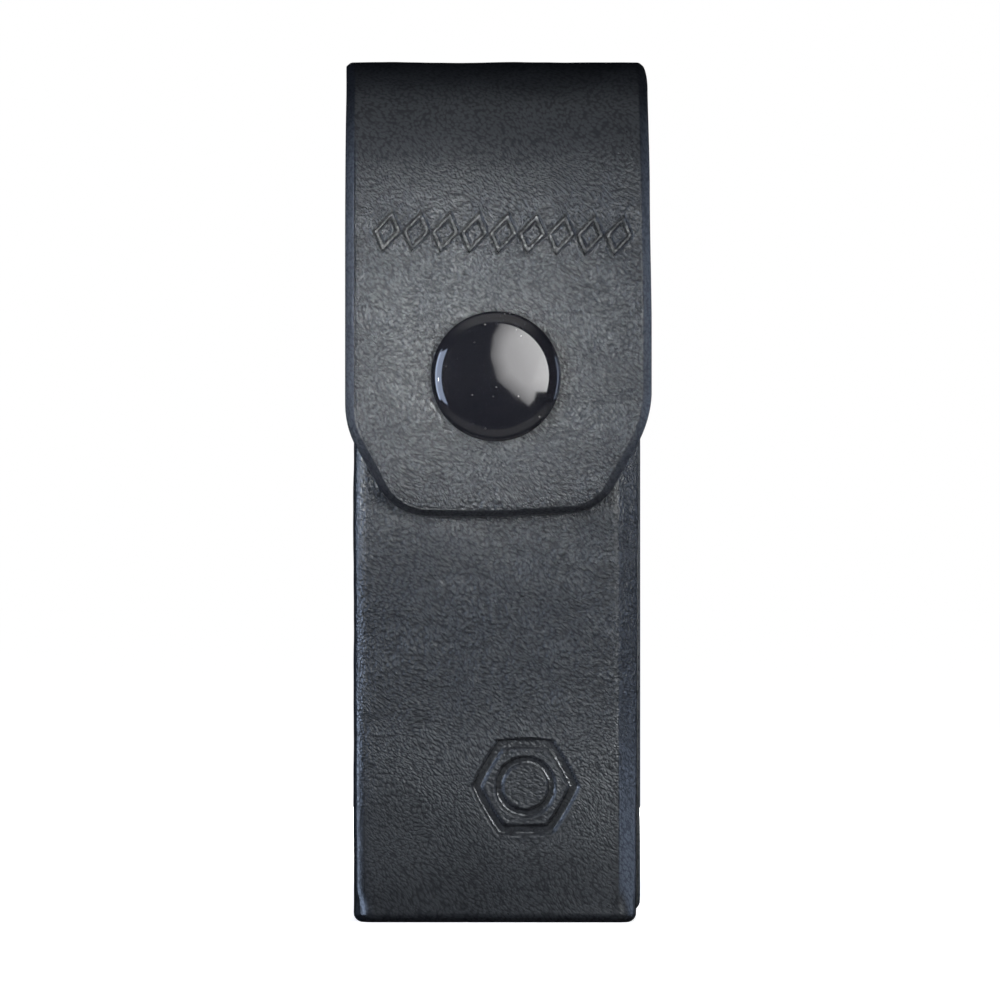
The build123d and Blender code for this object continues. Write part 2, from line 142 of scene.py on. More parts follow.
def spread(low, high, step):
    """Even values from low to high, about a step apart."""
    return np.linspace(low, high, max(2, int(round((high - low) / step)) + 1))


def unevenness(points, seed, layers):
    """Soft lumps at each point, from layers of (height, size), each layer with the next seed."""
    flat = points.reshape(-1, 3)
    total = np.zeros(len(flat))
    for number, (height, size) in enumerate(layers, start=seed):
        offset = Vector((number * 17.3, number * 5.1, number * 9.7))
        total += height * np.array([noise.noise(Vector(p) / size + offset) for p in flat])
    return total.reshape(points.shape[:-1])


class Path:
    """Straight runs and arcs in a plane, followed by length. Its outside is on the right."""

    def __init__(self, a, b, heading):
        self.point = np.array([a, b], float)
        self.heading = math.radians(heading)
        self.runs = []
        self.marks = [0.0]

    def line(self, length):
        self.runs.append((self.marks[-1], self.point.copy(), self.heading, 0.0))
        self.point += length * np.array([math.cos(self.heading), math.sin(self.heading)])
        self.marks.append(self.marks[-1] + length)
        return self

    def arc(self, radius, turn):
        bend = math.copysign(1 / radius, turn)
        self.runs.append((self.marks[-1], self.point.copy(), self.heading, bend))
        length = radius * abs(math.radians(turn))
        self.point = self.at(self.marks[-1] + length)[0]
        self.heading += math.radians(turn)
        self.marks.append(self.marks[-1] + length)
        return self

    def at(self, lengths):
        """Points and outward normals at these lengths along the path."""
        lengths = np.asarray(lengths, float)
        points = np.zeros(lengths.shape + (2,))
        normals = np.zeros(lengths.shape + (2,))
        for number, (start, origin, heading, bend) in enumerate(self.runs):
            here = lengths >= start if number else np.full(lengths.shape, True)
            go = lengths - start
            turn = heading + bend * go
            if bend:
                step_a = (np.sin(turn) - math.sin(heading)) / bend
                step_b = (math.cos(heading) - np.cos(turn)) / bend
            else:
                step_a = math.cos(heading) * go
                step_b = math.sin(heading) * go
            points[here] = np.stack([origin[0] + step_a, origin[1] + step_b], -1)[here]
            normals[here] = np.stack([np.sin(turn), -np.cos(turn)], -1)[here]
        return points, normals


def rounded_outline(corners, radii, steps=10):
    """Points along a chain of straight edges whose inner corners are rounded."""
    line = [np.array(corners[0], float)]
    for before, corner, after, radius in zip(corners, corners[1:], corners[2:], radii):
        corner = np.array(corner, float)
        back = (np.array(before) - corner) / np.linalg.norm(np.array(before) - corner)
        ahead = (np.array(after) - corner) / np.linalg.norm(np.array(after) - corner)
        half = math.acos(np.clip(back @ ahead, -1, 1)) / 2
        middle = (back + ahead) / np.linalg.norm(back + ahead)
        centre = corner + middle * radius / math.sin(half)
        start = corner + back * radius / math.tan(half) - centre
        sweep = math.pi - 2 * half
        side = math.copysign(1, start[0] * ahead[1] - start[1] * ahead[0])
        for k in range(steps + 1):
            angle = side * sweep * k / steps
            c, s = math.cos(angle), math.sin(angle)
            line.append(centre + [c * start[0] - s * start[1], s * start[0] + c * start[1]])
    line.append(np.array(corners[-1], float))
    return np.array(line)


def distance_to_line(points, line):
    """Distance from each (a, b) point to a chain of straight edges."""
    flat = points.reshape(-1, 2)
    nearest = np.full(len(flat), 1e9)
    for start, end in zip(line, line[1:]):
        edge = end - start
        along = np.clip((flat - start) @ edge / max(edge @ edge, 1e-12), 0, 1)
        nearest = np.minimum(nearest, np.linalg.norm(flat - start - along[:, None] * edge, axis=1))
    return nearest.reshape(points.shape[:-1])


def rounding(distance, width, depth):
    """How far a rounded edge falls at this distance from it."""
    t = np.clip(1 - distance / width, 0, 1)
    return depth * (1 - np.sqrt(1 - t * t))


def bevel(distance, width, depth):
    """How far a shaved edge falls at this distance from it: nearly flat, with its arrises eased."""
    shaved = np.clip(1 - distance / width, 0, 1)
    return 0.8 * depth * shaved + rounding(distance, width, 0.2 * depth)


def linked(name, data):
    """A new object in the scene."""
    made = bpy.data.objects.new(name, data)
    bpy.context.scene.collection.objects.link(made)
    return made


def aimed(thing, place, aim):
    """Puts a light or a camera in its place and points it at an aim."""
    thing.location = place
    thing.rotation_euler = (Vector(aim) - Vector(place)).to_track_quat("-Z", "Y").to_euler()


def finish_mesh(name, mesh, sharp=50):
    """Closes, smooths and links a mesh in millimetres as an object in metres."""
    work = bmesh.new()
    work.from_mesh(mesh)
    bmesh.ops.remove_doubles(work, verts=work.verts, dist=1e-4)
    loose = [v for v in work.verts if not v.link_faces]
    bmesh.ops.delete(work, geom=loose, context="VERTS")
    bmesh.ops.recalc_face_normals(work, faces=work.faces)
    bmesh.ops.scale(work, vec=(MM, MM, MM), verts=work.verts)
    work.to_mesh(mesh)
    work.free()
    mesh.polygons.foreach_set("use_smooth", [True] * len(mesh.polygons))
    mesh.set_sharp_from_angle(angle=math.radians(sharp))
    return linked(name, mesh)


def thick_grid(name, outer, inner, cells=None, wrap=False, rim=None, painted_light_and_grain=None, polish=None, sharp=50):
    """A skin between two grids of points, walled along every open edge of the kept cells.

    A grid that wraps starts with a flat ring, which is filled in.
    """
    rows, columns = outer.shape[:2]
    index = np.arange(rows * columns).reshape(rows, columns)
    if wrap:
        index = np.concatenate([index, index[:, :1]], axis=1)
    if cells is None:
        cells = np.ones((rows - 1, index.shape[1] - 1), bool)
    under = index + rows * columns
    quads = np.stack([index[:-1, :-1], index[:-1, 1:], index[1:, 1:], index[1:, :-1]], -1)
    lower = np.stack([under[:-1, :-1], under[1:, :-1], under[1:, 1:], under[:-1, 1:]], -1)
    faces = [quads[cells], lower[cells]]
    along = np.pad(cells, ((1, 1), (0, 0)))
    if wrap:
        along[0] = cells[0]
        across = np.pad(cells, ((0, 0), (1, 0)), mode="wrap")
    else:
        across = np.pad(cells, ((0, 0), (1, 1)))
    top, low = index[:, :across.shape[1] - 1], under[:, :across.shape[1] - 1]
    row_walls = np.stack([index[:, :-1], index[:, 1:], under[:, 1:], under[:, :-1]], -1)
    side_walls = np.stack([top[:-1], top[1:], low[1:], low[:-1]], -1)
    faces += [row_walls[along[1:] != along[:-1]], side_walls[across[:, 1:] != across[:, :-1]]]
    faces = np.concatenate(faces).tolist()
    if wrap:
        faces += [index[0, :-1].tolist(), under[0, :-1].tolist()]
    mesh = bpy.data.meshes.new(name)
    points = np.concatenate([outer.reshape(-1, 3), inner.reshape(-1, 3)])
    mesh.from_pydata(points.tolist(), [], faces)
    for attribute, values in (("rim", rim), ("painted_light_and_grain", painted_light_and_grain), ("polish", polish)):
        if values is not None:
            layer = mesh.attributes.new(attribute, "FLOAT", "POINT")
            layer.data.foreach_set("value", np.tile(values.ravel(), 2).astype(np.float32))
    return finish_mesh(name, mesh, sharp)


def lathe(name, outline, centres, direction, turns, sharp):
    """Turns a closed outline of (radius, height) points about an axis through each centre."""
    angles = np.linspace(0, 2 * math.pi, turns, endpoint=False)
    outline = np.array(outline, float)
    out = Vector(direction).normalized()
    side = out.orthogonal().normalized()
    third = out.cross(side)
    ring = np.cos(angles)[:, None] * np.array(side) + np.sin(angles)[:, None] * np.array(third)
    turned = outline[:, None, :1] * ring[None] + outline[:, None, 1:] * np.array(out)
    points = np.array(centres, float)[:, None, None] + turned
    index = np.arange(points[..., 0].size).reshape(points.shape[:3])
    ahead = np.roll(index, -1, axis=2)
    below = np.roll(index, -1, axis=1)
    quads = np.stack([index, ahead, np.roll(below, -1, axis=2), below], -1).reshape(-1, 4)
    mesh = bpy.data.meshes.new(name)
    mesh.from_pydata(points.reshape(-1, 3).tolist(), [], quads.tolist())
    return finish_mesh(name, mesh, sharp)


def tubes(name, rings):
    """Closed tubes through rings of points, several to a mesh: tube by ring by side by coordinate."""
    index = np.arange(rings[..., 0].size).reshape(rings.shape[:3])
    ahead = np.roll(index, -1, axis=2)
    quads = np.stack([index[:, :-1], ahead[:, :-1], ahead[:, 1:], index[:, 1:]], -1).reshape(-1, 4)
    faces = quads.tolist() + index[:, 0, ::-1].tolist() + index[:, -1].tolist()
    mesh = bpy.data.meshes.new(name)
    mesh.from_pydata(rings.reshape(-1, 3).tolist(), [], faces)
    return finish_mesh(name, mesh, 60)


def arc_points(centre, radius_a, radius_b, start, end, count):
    """Points on an ellipse's arc, for outlines that are turned or swept."""
    angles = np.radians(np.linspace(start, end, count))
    return [(centre[0] + radius_a * math.cos(a), centre[1] + radius_b * math.sin(a)) for a in angles]


# ---- the strap: back panel, bridge and flap in one piece of hide ----
CUT_AFTER_FOLD = 6.0  # where the strap's two meshes meet, on its flat top
FOLD_RADIUS = HEIGHT - FOLD[2]
BROW_DEPTH = (BROW_RADIUS - SHOULDER_RADIUS) * math.cos(math.radians(BROW_ANGLE))
SHOULDER_Y = FLAP_FACE + BROW_RADIUS - BROW_DEPTH
CURL_ANGLE = math.degrees(math.asin(CURL_HEIGHT / CURL_RADIUS))

strap = Path(PANEL_HIGH[1], PANEL_LOW[2], 90)
strap.line(FOLD[2] - PANEL_LOW[2]).arc(FOLD_RADIUS, 90)
strap.line(FOLD[1] - SHOULDER_Y).arc(SHOULDER_RADIUS, 90 - BROW_ANGLE).arc(BROW_RADIUS, BROW_ANGLE)
strap.line(strap.point[1] - FLAP_LOW[2] - CURL_HEIGHT).arc(CURL_RADIUS, CURL_ANGLE)
S_FOLD, S_TOP, S_SHOULDER, S_BROW, S_FRONT, _, S_END = strap.marks[1:]
S_CUT = S_TOP + CUT_AFTER_FOLD

# Half widths of the strap to each side, as (length along it, half width).
PANEL_HALF = PANEL_HIGH[0]
FLAP_LEFT = 18.8
FLAP_RIGHT = FLAP_HIGH[0] + 0.1
LEFT_WIDTHS = ((S_FOLD - 12, PANEL_HALF), (S_SHOULDER - 2, 19.05), (S_SHOULDER + 12, FLAP_LEFT))
RIGHT_WIDTHS = ((S_FOLD - 12, PANEL_HALF), (S_SHOULDER - 2, 18.3), (S_SHOULDER + 9, 18.9),
                (S_BROW + 8, 19.15), (S_FRONT + 12, FLAP_RIGHT))

# Lower outline of the flap, as (x, height above its tip), from the left side round to the right.
TIP_CORNERS = ((-FLAP_LEFT, 30), (-FLAP_LEFT, 11.4), (-12.5, 0), (0, -0.15), (12.9, 0.6),
               (FLAP_RIGHT, 12.6), (FLAP_RIGHT, 30))
TIP_RADII = (11.0, 6.9, 60.0, 6.3, 14.0)

FLAP_EDGE = (1.15, 1.0)  # width and depth of its rounded outer edge
FLAP_INNER_EDGE = (0.25, 0.25)
TOP_EASE = 0.42  # share of that edge over the flat top
MID_HEIGHT = 25.0  # of the last level row above the tip
TIP_ZONE = 3.2  # closely spaced rows along the tip
STRAP_LUMPS = ((0.09, 7.0), (0.035, 2.6))
PANEL_LUMPS = ((0.07, 8.0),)
PANEL_CORNER = 1.6
PANEL_RIM = 1.2

BAND_HEIGHT = 86.0
BAND_SHIFT = 0.9
BAND_TILT = -0.02
LOZENGE_COUNT = 9
LOZENGE_PITCH = 3.6
LOZENGE_HALF = (1.42, 2.1)
LOZENGE_SLANT = 0.25
STROKE = 0.28
STROKE_DEPTH = 0.5
LIP = 0.18  # height of a pressed line's raised lips, as a share of its depth

CREASE_PLACE = 0.12  # the tooled line runs this far inside the edge band
CREASE_DEPTH = (0.15, 0.04)  # left side, right side
CREASE_ROOM = 0.34
CREASE_STEPS = (0.0, 0.06, 0.12, 0.18, 0.24)
SNAP_DISH = 0.42


def groove(distance, half_width, depth, soft=0.12):
    """Depth of a pressed line at this distance from its middle, with slightly raised lips."""
    far = np.abs(distance) - half_width
    return depth * (1 - smoothstep(-soft, soft, far) - LIP * bell(far - 2.2 * soft, 1.3 * soft))


def lozenge_relief(x, z):
    """A tooled row of slanted lozenges across the flap."""
    relief = np.zeros(x.shape)
    half_a, half_b = LOZENGE_HALF
    to_edge = half_a * half_b / math.hypot(half_a, half_b)
    for number in range(LOZENGE_COUNT):
        middle = (number - (LOZENGE_COUNT - 1) / 2) * LOZENGE_PITCH + BAND_SHIFT
        up = z - BAND_HEIGHT - BAND_TILT * (x - BAND_SHIFT)
        along = x - middle - LOZENGE_SLANT * up
        outline = (np.abs(along) / half_a + np.abs(up) / half_b - 1) * to_edge
        near = np.abs(outline) < 1.5
        pressed = groove(outline, STROKE, STROKE_DEPTH)
        relief = np.where(near & (np.abs(pressed) > np.abs(relief)), pressed, relief)
    return relief


def snap_dish(x, z):
    """The hide is drawn in round the press stud."""
    return SNAP_DISH * bell(np.hypot(x, z - SNAP_Z) - 0.8 * CAP_RADIUS, 3.4)


def sheet_points(path, across, along, depth):
    """Places in the frame for a sheet's coordinates: x, length along its path, depth under its face."""
    line, normal = path.at(along)
    y = line[..., 0] - normal[..., 0] * depth
    z = line[..., 1] - normal[..., 1] * depth
    return np.stack([across, y, z], -1)


def side_gap(columns):
    """Distance of each column place from the nearer side of its row."""
    return np.minimum(columns - columns[:, :1], columns[:, -1:] - columns)


def corner_pull(from_end, corner):
    """How far a strip's side is drawn in near its end, for a rounded corner."""
    beyond = np.clip(corner - from_end, 0, corner)
    return corner - np.sqrt(np.maximum(corner**2 - beyond**2, 0))


def rim_columns(half_left, half_right, width, step):
    """Column places across a strip, close together near its two edges, one row per width given."""
    offsets = np.array([width * (1 - r) for r in RIM_STEPS] + [width + d for d in CREASE_STEPS])
    width += CREASE_ROOM
    count = int(round((half_left.max() + half_right.max() - 2 * width) / step))
    share = np.linspace(0, 1, count + 1)
    left = -half_left[:, None] + offsets[None]
    right = half_right[:, None] - offsets[None, ::-1]
    inner_left = -half_left[:, None] + width
    inner_right = half_right[:, None] - width
    middle = inner_left + (inner_right - inner_left) * share[None]
    return np.concatenate([left, middle, right], axis=1)


def flap_end(x):
    """Length along the strap where the flap ends, at this x."""
    outline = rounded_outline(TIP_CORNERS, TIP_RADII, steps=24)
    order = np.argsort(outline[1:-1, 0], kind="stable")
    heights = np.interp(x, outline[1:-1, 0][order], outline[1:-1, 1][order])
    return S_END - heights


def front_grid(start, step, width):
    """Grid of the strap's front: places across and along it, and each one's distance from its edge."""
    level_end = S_END - MID_HEIGHT
    band = S_FRONT - (BAND_HEIGHT - strap.at(np.array(S_FRONT))[0][1])
    level = np.unique(np.concatenate([
        spread(start, band - 3, 2 * step),
        spread(band - 3, band + 3, 0.7 * step),
        spread(band + 3, level_end, 1.5 * step),
    ]))
    half_left = smooth_knots(level, LEFT_WIDTHS)
    half_right = smooth_knots(level, RIGHT_WIDTHS)
    columns = rim_columns(half_left, half_right, width, 0.75 * step)
    last = columns[-1]
    ends = flap_end(last)
    lower = spread(0, 1, 1.5 * step / (MID_HEIGHT - TIP_ZONE))[1:, None]
    tip = TIP_ZONE * (1 - spread(0, 1, 1 / 18) ** 0.6)[1:, None]
    along = np.concatenate([
        np.repeat(level[:, None], columns.shape[1], axis=1),
        level_end + lower * (ends - TIP_ZONE - level_end),
        ends - tip,
    ])
    across = np.concatenate([columns, np.repeat(last[None], len(lower) + len(tip), axis=0)])
    outline = np.concatenate([
        np.stack([columns[-12:, 0], level[-12:]], -1),
        np.stack([last, ends], -1),
        np.stack([columns[-12:, -1], level[-12:]], -1)[::-1],
    ])
    near = along >= level_end - 2
    gap = np.where(near, 0.0, side_gap(across))
    gap[near] = distance_to_line(np.stack([across[near], along[near]], -1), outline)
    return across, along, gap


def strap_front(name, depth_out, depth_in, edge_out, edge_in, step, start, relief):
    """The strap from a place on its flat top to the flap's tip, as one layer of it."""
    width = edge_out[0]
    across, along, gap = front_grid(start, step, width)
    ease = TOP_EASE + (1 - TOP_EASE) * smoothstep(S_SHOULDER - 3, S_SHOULDER + 10, along)
    fall = bevel(gap, edge_out[0] * ease, edge_out[1] * ease)
    rise = rounding(gap, *edge_in)
    top = sheet_points(strap, across, along, depth_out + fall)
    fade = smoothstep(start + 0.5, start + 5, along)
    lumps = fade * unevenness(top, 1, STRAP_LUMPS)
    pressed, stamped = relief(across, top[..., 2], along, gap)
    outer = sheet_points(strap, across, along, depth_out + fall + lumps + fade * pressed)
    inner = sheet_points(strap, across, along, depth_in - rise + 0.8 * lumps)
    rim = 1 - smoothstep(0.9 * width, 1.15 * width, gap)
    # Painted light and shade along the strap: dark over its top and shoulder, lit down the flap's front. The
    # same share sets the grain's strength.
    painted_light_and_grain = smoothstep(S_SHOULDER, S_FRONT, along) ** 1.5
    return thick_grid(name, outer, inner, rim=rim, painted_light_and_grain=painted_light_and_grain, polish=stamped)


def flap_relief(x, z, along, gap):
    """How far the flap's outer face is pressed in, and where a stamp has smoothed it."""
    on_front = smoothstep(S_BROW, S_BROW + 6, along)
    depth = CREASE_DEPTH[0] + (CREASE_DEPTH[1] - CREASE_DEPTH[0]) * smoothstep(-9, 6, x)
    crease = groove(gap - FLAP_EDGE[0] - CREASE_PLACE, 0.05, depth, 0.1)
    stamp = lozenge_relief(x, z)
    return on_front * (stamp + snap_dish(x, z) + crease), on_front * smoothstep(0.05, 0.3, stamp)


def plain_relief(x, z, along, gap):
    """The lining is neither pressed nor stamped."""
    return np.zeros(x.shape), np.zeros(x.shape)


def strap_rear(name, step):
    """The back panel and the rear of the bridge, up to the strap's cut."""
    base = np.array([PANEL_RIM * (1 - r) for r in RIM_STEPS])
    panel = spread(PANEL_RIM, S_FOLD - 2, 2 * step)
    fold = spread(S_FOLD - 2, S_TOP + 2, 0.12)
    top = spread(S_TOP + 2, S_CUT, 2 * step)
    along = np.unique(np.concatenate([base, panel, fold, top]))
    pull = corner_pull(along, PANEL_CORNER)
    half_left = smooth_knots(along, LEFT_WIDTHS) - pull
    half_right = smooth_knots(along, RIGHT_WIDTHS) - pull
    edge = [TOP_EASE * size for size in FLAP_EDGE]
    columns = rim_columns(half_left, half_right, edge[0], step)
    length = np.repeat(along[:, None], columns.shape[1], axis=1)
    gap = np.minimum(side_gap(columns), length)
    plain = sheet_points(strap, columns, length, 0)
    seam = stitch_groove(columns, plain[..., 2]) * (length < S_FOLD)
    fade = 1 - smoothstep(S_CUT - 5, S_CUT - 0.5, length)
    lumps = fade * unevenness(plain, 3, PANEL_LUMPS)
    outer = sheet_points(strap, columns, length, bevel(gap, *edge) + lumps + seam)
    inner = sheet_points(strap, columns, length, LEATHER - rounding(gap, 0.3, 0.3))
    return thick_grid(name, outer, inner, rim=1 - smoothstep(0.1, 0.6, gap))


# ---- seams ----
LEFT_SEAM_LOW, LEFT_SEAM_HIGH = box_mm("left_seam_thread")
BASE_SEAM_LOW, BASE_SEAM_HIGH = box_mm("base_seam_thread")
SEAM_X = -(LEFT_SEAM_LOW[0] + LEFT_SEAM_HIGH[0]) / 2
BASE_SEAM_Z = (BASE_SEAM_LOW[2] + BASE_SEAM_HIGH[2]) / 2
SEAM_TOP = LEFT_SEAM_HIGH[2]
SIDE_STITCHES = 29
BASE_STITCHES = 9
FIRST_STITCH = LEFT_SEAM_LOW[2] + 1.25
STITCH_PITCH = (SEAM_TOP - 1.25 - FIRST_STITCH) / (SIDE_STITCHES - 1)
NEEDLE_HOLE = (0.35, 0.42)  # depth and width


def stitch_places():
    """Middle and direction of every stitch, as (seam, x, z, along x or z)."""
    places = []
    for number in range(SIDE_STITCHES):
        for seam, x in (("left_seam", -SEAM_X), ("right_seam", SEAM_X)):
            places.append((seam, x, FIRST_STITCH + number * STITCH_PITCH, "z"))
    for number in range(BASE_STITCHES):
        x = (number - (BASE_STITCHES - 1) / 2) * STITCH_PITCH
        places.append(("base_seam", x, BASE_SEAM_Z, "x"))
    return places


def stitch_groove(x, z):
    """The cut channel that the stitches lie in, deeper at each needle hole."""
    beyond = np.maximum(BASE_SEAM_Z - z, z - SEAM_TOP - 0.6)
    side = np.hypot(np.abs(x) - SEAM_X, np.maximum(0, beyond))
    base = np.hypot(z - BASE_SEAM_Z, np.maximum(0, np.abs(x) - SEAM_X))
    channel = groove(np.minimum(side, base), 0.42, 0.4, 0.16)
    depth, width = NEEDLE_HOLE
    holes = np.zeros(x.shape)
    for number in range(SIDE_STITCHES + 1):
        hole_z = FIRST_STITCH + (number - 0.5) * STITCH_PITCH
        holes = np.maximum(holes, depth * bell(np.hypot(np.abs(x) - SEAM_X, z - hole_z), width))
    return channel + holes


# ---- the moulded pocket ----
POCKET_HALF = SHELL_HIGH[0]
POCKET_FRONT = SHELL_LOW[1]
POCKET_REAR = SHELL_HIGH[1]
MOUTH_REAR = SHELL_HIGH[2]
MARK_CENTRE = (3.6, 17.0)
MARK_SIZE = 6.0  # half its width across flats
MARK_BAND = 1.15
MARK_RING = 3.3
MARK_DEPTHS = (0.34, 0.32)  # hexagon, ring
CORNER_FACETS = ((-16.35, 27), (15.35, 41))  # where each front corner's flat starts across, and its lean
CORNER_SHARPNESS = 6.0  # of the arrises between a corner's flats, to the millimetre
STUD_DISH = 0.16
POCKET_LUMPS = ((0.10, 9.0), (0.035, 3.0))
# Painted shade: the pocket's tone is darker towards its foot, rising from the first share to the second by
# the height below. The shares also set the grain's strength.
POCKET_PAINTED_LIGHT = (0.25, 0.97)  # at the foot and above it
PAINTED_SHADE_HEIGHT = 38.0
FLOOR_INSETS = (6.0, 3.0, 1.2, 0.4)
ROUND_STEPS = 9
LIP_ZONE = 3.5  # closely spaced rows along the mouth
MOUTH_EASE = 1.5


def pocket_plan():
    """The pocket seen from above: a loop that starts at the middle of its rear and goes to the left."""
    depth = POCKET_REAR - POCKET_FRONT - POCKET_CORNER - POCKET_REAR_CORNER
    plan = Path(0, POCKET_REAR, 180)
    plan.line(POCKET_HALF - POCKET_REAR_CORNER).arc(POCKET_REAR_CORNER, 90).line(depth)
    plan.arc(POCKET_CORNER, 90).line(2 * (POCKET_HALF - POCKET_CORNER)).arc(POCKET_CORNER, 90)
    plan.line(depth).arc(POCKET_REAR_CORNER, 90).line(POCKET_HALF - POCKET_REAR_CORNER)
    return plan


def mouth_height(y):
    """Height of the pocket's mouth: level behind the front face, then rising to the rear."""
    start = POCKET_FRONT + MOUTH_FLAT
    slope = (MOUTH_REAR - MOUTH_FRONT) / (POCKET_REAR - start)
    eased = np.maximum(y - start + MOUTH_EASE, 0) ** 2 / (4 * MOUTH_EASE)
    return MOUTH_FRONT + slope * np.where(y > start + MOUTH_EASE, y - start, eased)


def nut_relief(x, z):
    """A pressed mark: a hexagon's band with a ring inside it."""
    dx, dz = x - MARK_CENTRE[0], z - MARK_CENTRE[1]
    radius = np.hypot(dx, dz)
    angles = np.radians((90, 150, 210))
    corner = np.max([np.abs(dx * math.cos(a) + dz * math.sin(a)) for a in angles], axis=0)
    hexagon = 0.82 * corner + 0.18 * radius
    band = groove(hexagon - MARK_SIZE + MARK_BAND / 2, MARK_BAND / 2, MARK_DEPTHS[0])
    ring = groove(radius - MARK_RING, MARK_BAND / 2.4, MARK_DEPTHS[1])
    return np.where(radius < MARK_SIZE - 1.6, ring, band)


def corner_push(lean, facet, flat_lean):
    """How far a front corner is pushed out to follow a flat instead of its round, at this lean."""
    inside = abs(facet) - (POCKET_HALF - POCKET_CORNER)
    flat_lean = math.radians(flat_lean)
    reach = inside * math.sin(flat_lean) + POCKET_CORNER * math.cos(flat_lean)
    front = POCKET_CORNER / np.maximum(np.cos(lean), 0.05)
    side = POCKET_CORNER / np.maximum(np.sin(lean), 0.05)
    flat = reach / np.maximum(np.cos(lean - flat_lean), 0.05)
    total = sum(np.exp(-CORNER_SHARPNESS * far) for far in (front, side, flat))
    return -np.log(total) / CORNER_SHARPNESS - POCKET_CORNER


def pocket_relief(points, facing):
    """How far the pocket's outer face is pressed in at each of its points."""
    x, z = points[..., 0], points[..., 2]
    crown = (1 - (x / POCKET_HALF) ** 2) * smoothstep(0, 10, z) * (1 - smoothstep(60, 84, z))
    push = facing * (0.10 - 0.22 * crown)
    push += (1 - facing) * np.where(x < 0, -0.32, 0.12 - 0.22 * smoothstep(5, 60, z))
    push += smoothstep(0.2, 3.0, z) * unevenness(points, 5, POCKET_LUMPS)
    on_front = facing**4
    push += on_front * (nut_relief(x, z) + STUD_DISH * bell(np.hypot(x, z - SNAP_Z) - 4.5, 1.6))
    lean = np.arccos(facing)
    turning = smoothstep(0.0, 0.08, lean) * (1 - smoothstep(1.45, 1.56, lean))
    up = smoothstep(1.0, 5.0, z)
    for side, (facet, flat_lean) in zip((-1, 1), CORNER_FACETS):
        push -= up * turning * (x * side > 0) * corner_push(lean, facet, flat_lean)
    return push


def pocket_polish(x, z, lean):
    """Where handling has smoothed the hide: the left corner's flat, the right one's ridge, the mark."""
    (left, _), (right, _) = CORNER_FACETS
    flat = smoothstep(-left - 0.3, 0.2 - left, -x) * (1 - smoothstep(1.0, 1.3, lean))
    ridge = 0.6 * bell(x - right + 0.2, 0.4) * (lean < 1)
    return flat + ridge + (lean < 0.3) * smoothstep(0.05, 0.2, nut_relief(x, z))


def pocket_columns(plan, step):
    """Places along the pocket's plan: fine across the front and round the corners."""
    stops = plan.marks
    sizes = ((0, 1.2), (2, 0.9), (4, step), (6, 0.9), (8, 1.2))
    parts = [spread(stops[side], stops[side + 1], size) for side, size in sizes]
    for corner, count in ((1, 13), (3, 25), (5, 25), (7, 13)):
        parts.append(np.linspace(stops[corner], stops[corner + 1], count))
    return np.unique(np.round(np.concatenate(parts), 5))[:-1]


def pocket_layer(name, start, thickness, window, window_sill, step, edge, relief=None):
    """One skin of the pocket between two depths under its outer face, floor included.

    Its rear is open within the window's half width, above its sill.
    """
    plan = pocket_plan()
    along = pocket_columns(plan, step)
    along = np.unique(np.concatenate([along, [window, plan.marks[-1] - window]]))
    line, normal = plan.at(along)
    mark_rows = spread(MARK_CENTRE[1] - 7.5, MARK_CENTRE[1] + 7.5, step)
    walls = np.unique(np.concatenate([
        spread(BASE_ROUND + 0.1, mark_rows[0], 2.2 * step),
        mark_rows,
        spread(mark_rows[-1], MOUTH_FRONT - 8, 2.2 * step),
        [window_sill],
    ]))
    mouth = mouth_height(line[:, 1])

    def skin(depth, sink):
        """All rows of one surface: floor from its middle out, the base's round, then the walls."""
        flat = np.ones(len(line))
        size = max(BASE_ROUND - depth, 0.15)
        rows = [(depth + size + inset, flat * depth) for inset in FLOOR_INSETS]
        for angle in np.radians(np.linspace(0, 90, ROUND_STEPS)):
            rows.append((depth + size * (1 - math.sin(angle)), flat * (depth + size * (1 - math.cos(angle)))))
        for number, z in enumerate(walls, start=1):
            rows.append((depth, flat * max(z, depth + size + 0.02 * number)))
        for share in spread(0, 1, 0.06)[1:]:
            rows.append((depth, walls[-1] + share * (mouth - LIP_ZONE - walls[-1])))
        for back in LIP_ZONE * np.linspace(1, 0, 22)[1:] ** 1.6:
            rows.append((depth + sink * rounding(back, edge, edge), mouth - back))
        return np.array([np.column_stack((line - normal * inset, z)) for inset, z in rows])

    outer = skin(start, 1.0)
    inner = skin(start + thickness, -1.0)
    facing = np.clip(-normal[:, 1], 0, 1)[None]
    if relief:
        push = relief(outer, facing)
        outer[..., :2] -= normal[None] * push[..., None]
    middle = (np.append(along[1:], plan.marks[-1]) + along) / 2
    open_columns = (middle < window) | (middle > plan.marks[-1] - window)
    floor_rows = len(FLOOR_INSETS) + ROUND_STEPS
    row = np.arange(len(outer))
    open_rows = row[:-1] >= floor_rows + int(np.searchsorted(walls, window_sill - 1e-6))
    cells = ~(open_rows[:, None] & open_columns)
    x, z = outer[..., 0], outer[..., 2]
    rim = 1 - smoothstep(0.1, 1.2, np.where(row[:, None] > floor_rows, mouth - z, 9))
    # Painted shade: darker towards the pocket's foot, with weaker grain there.
    painted_light_and_grain = POCKET_PAINTED_LIGHT[0] + (POCKET_PAINTED_LIGHT[1] - POCKET_PAINTED_LIGHT[0]) * smoothstep(0, PAINTED_SHADE_HEIGHT, z)
    polish = pocket_polish(x, z, np.arccos(facing))
    return thick_grid(name, outer, inner, cells, wrap=True, rim=rim, painted_light_and_grain=painted_light_and_grain, polish=polish)


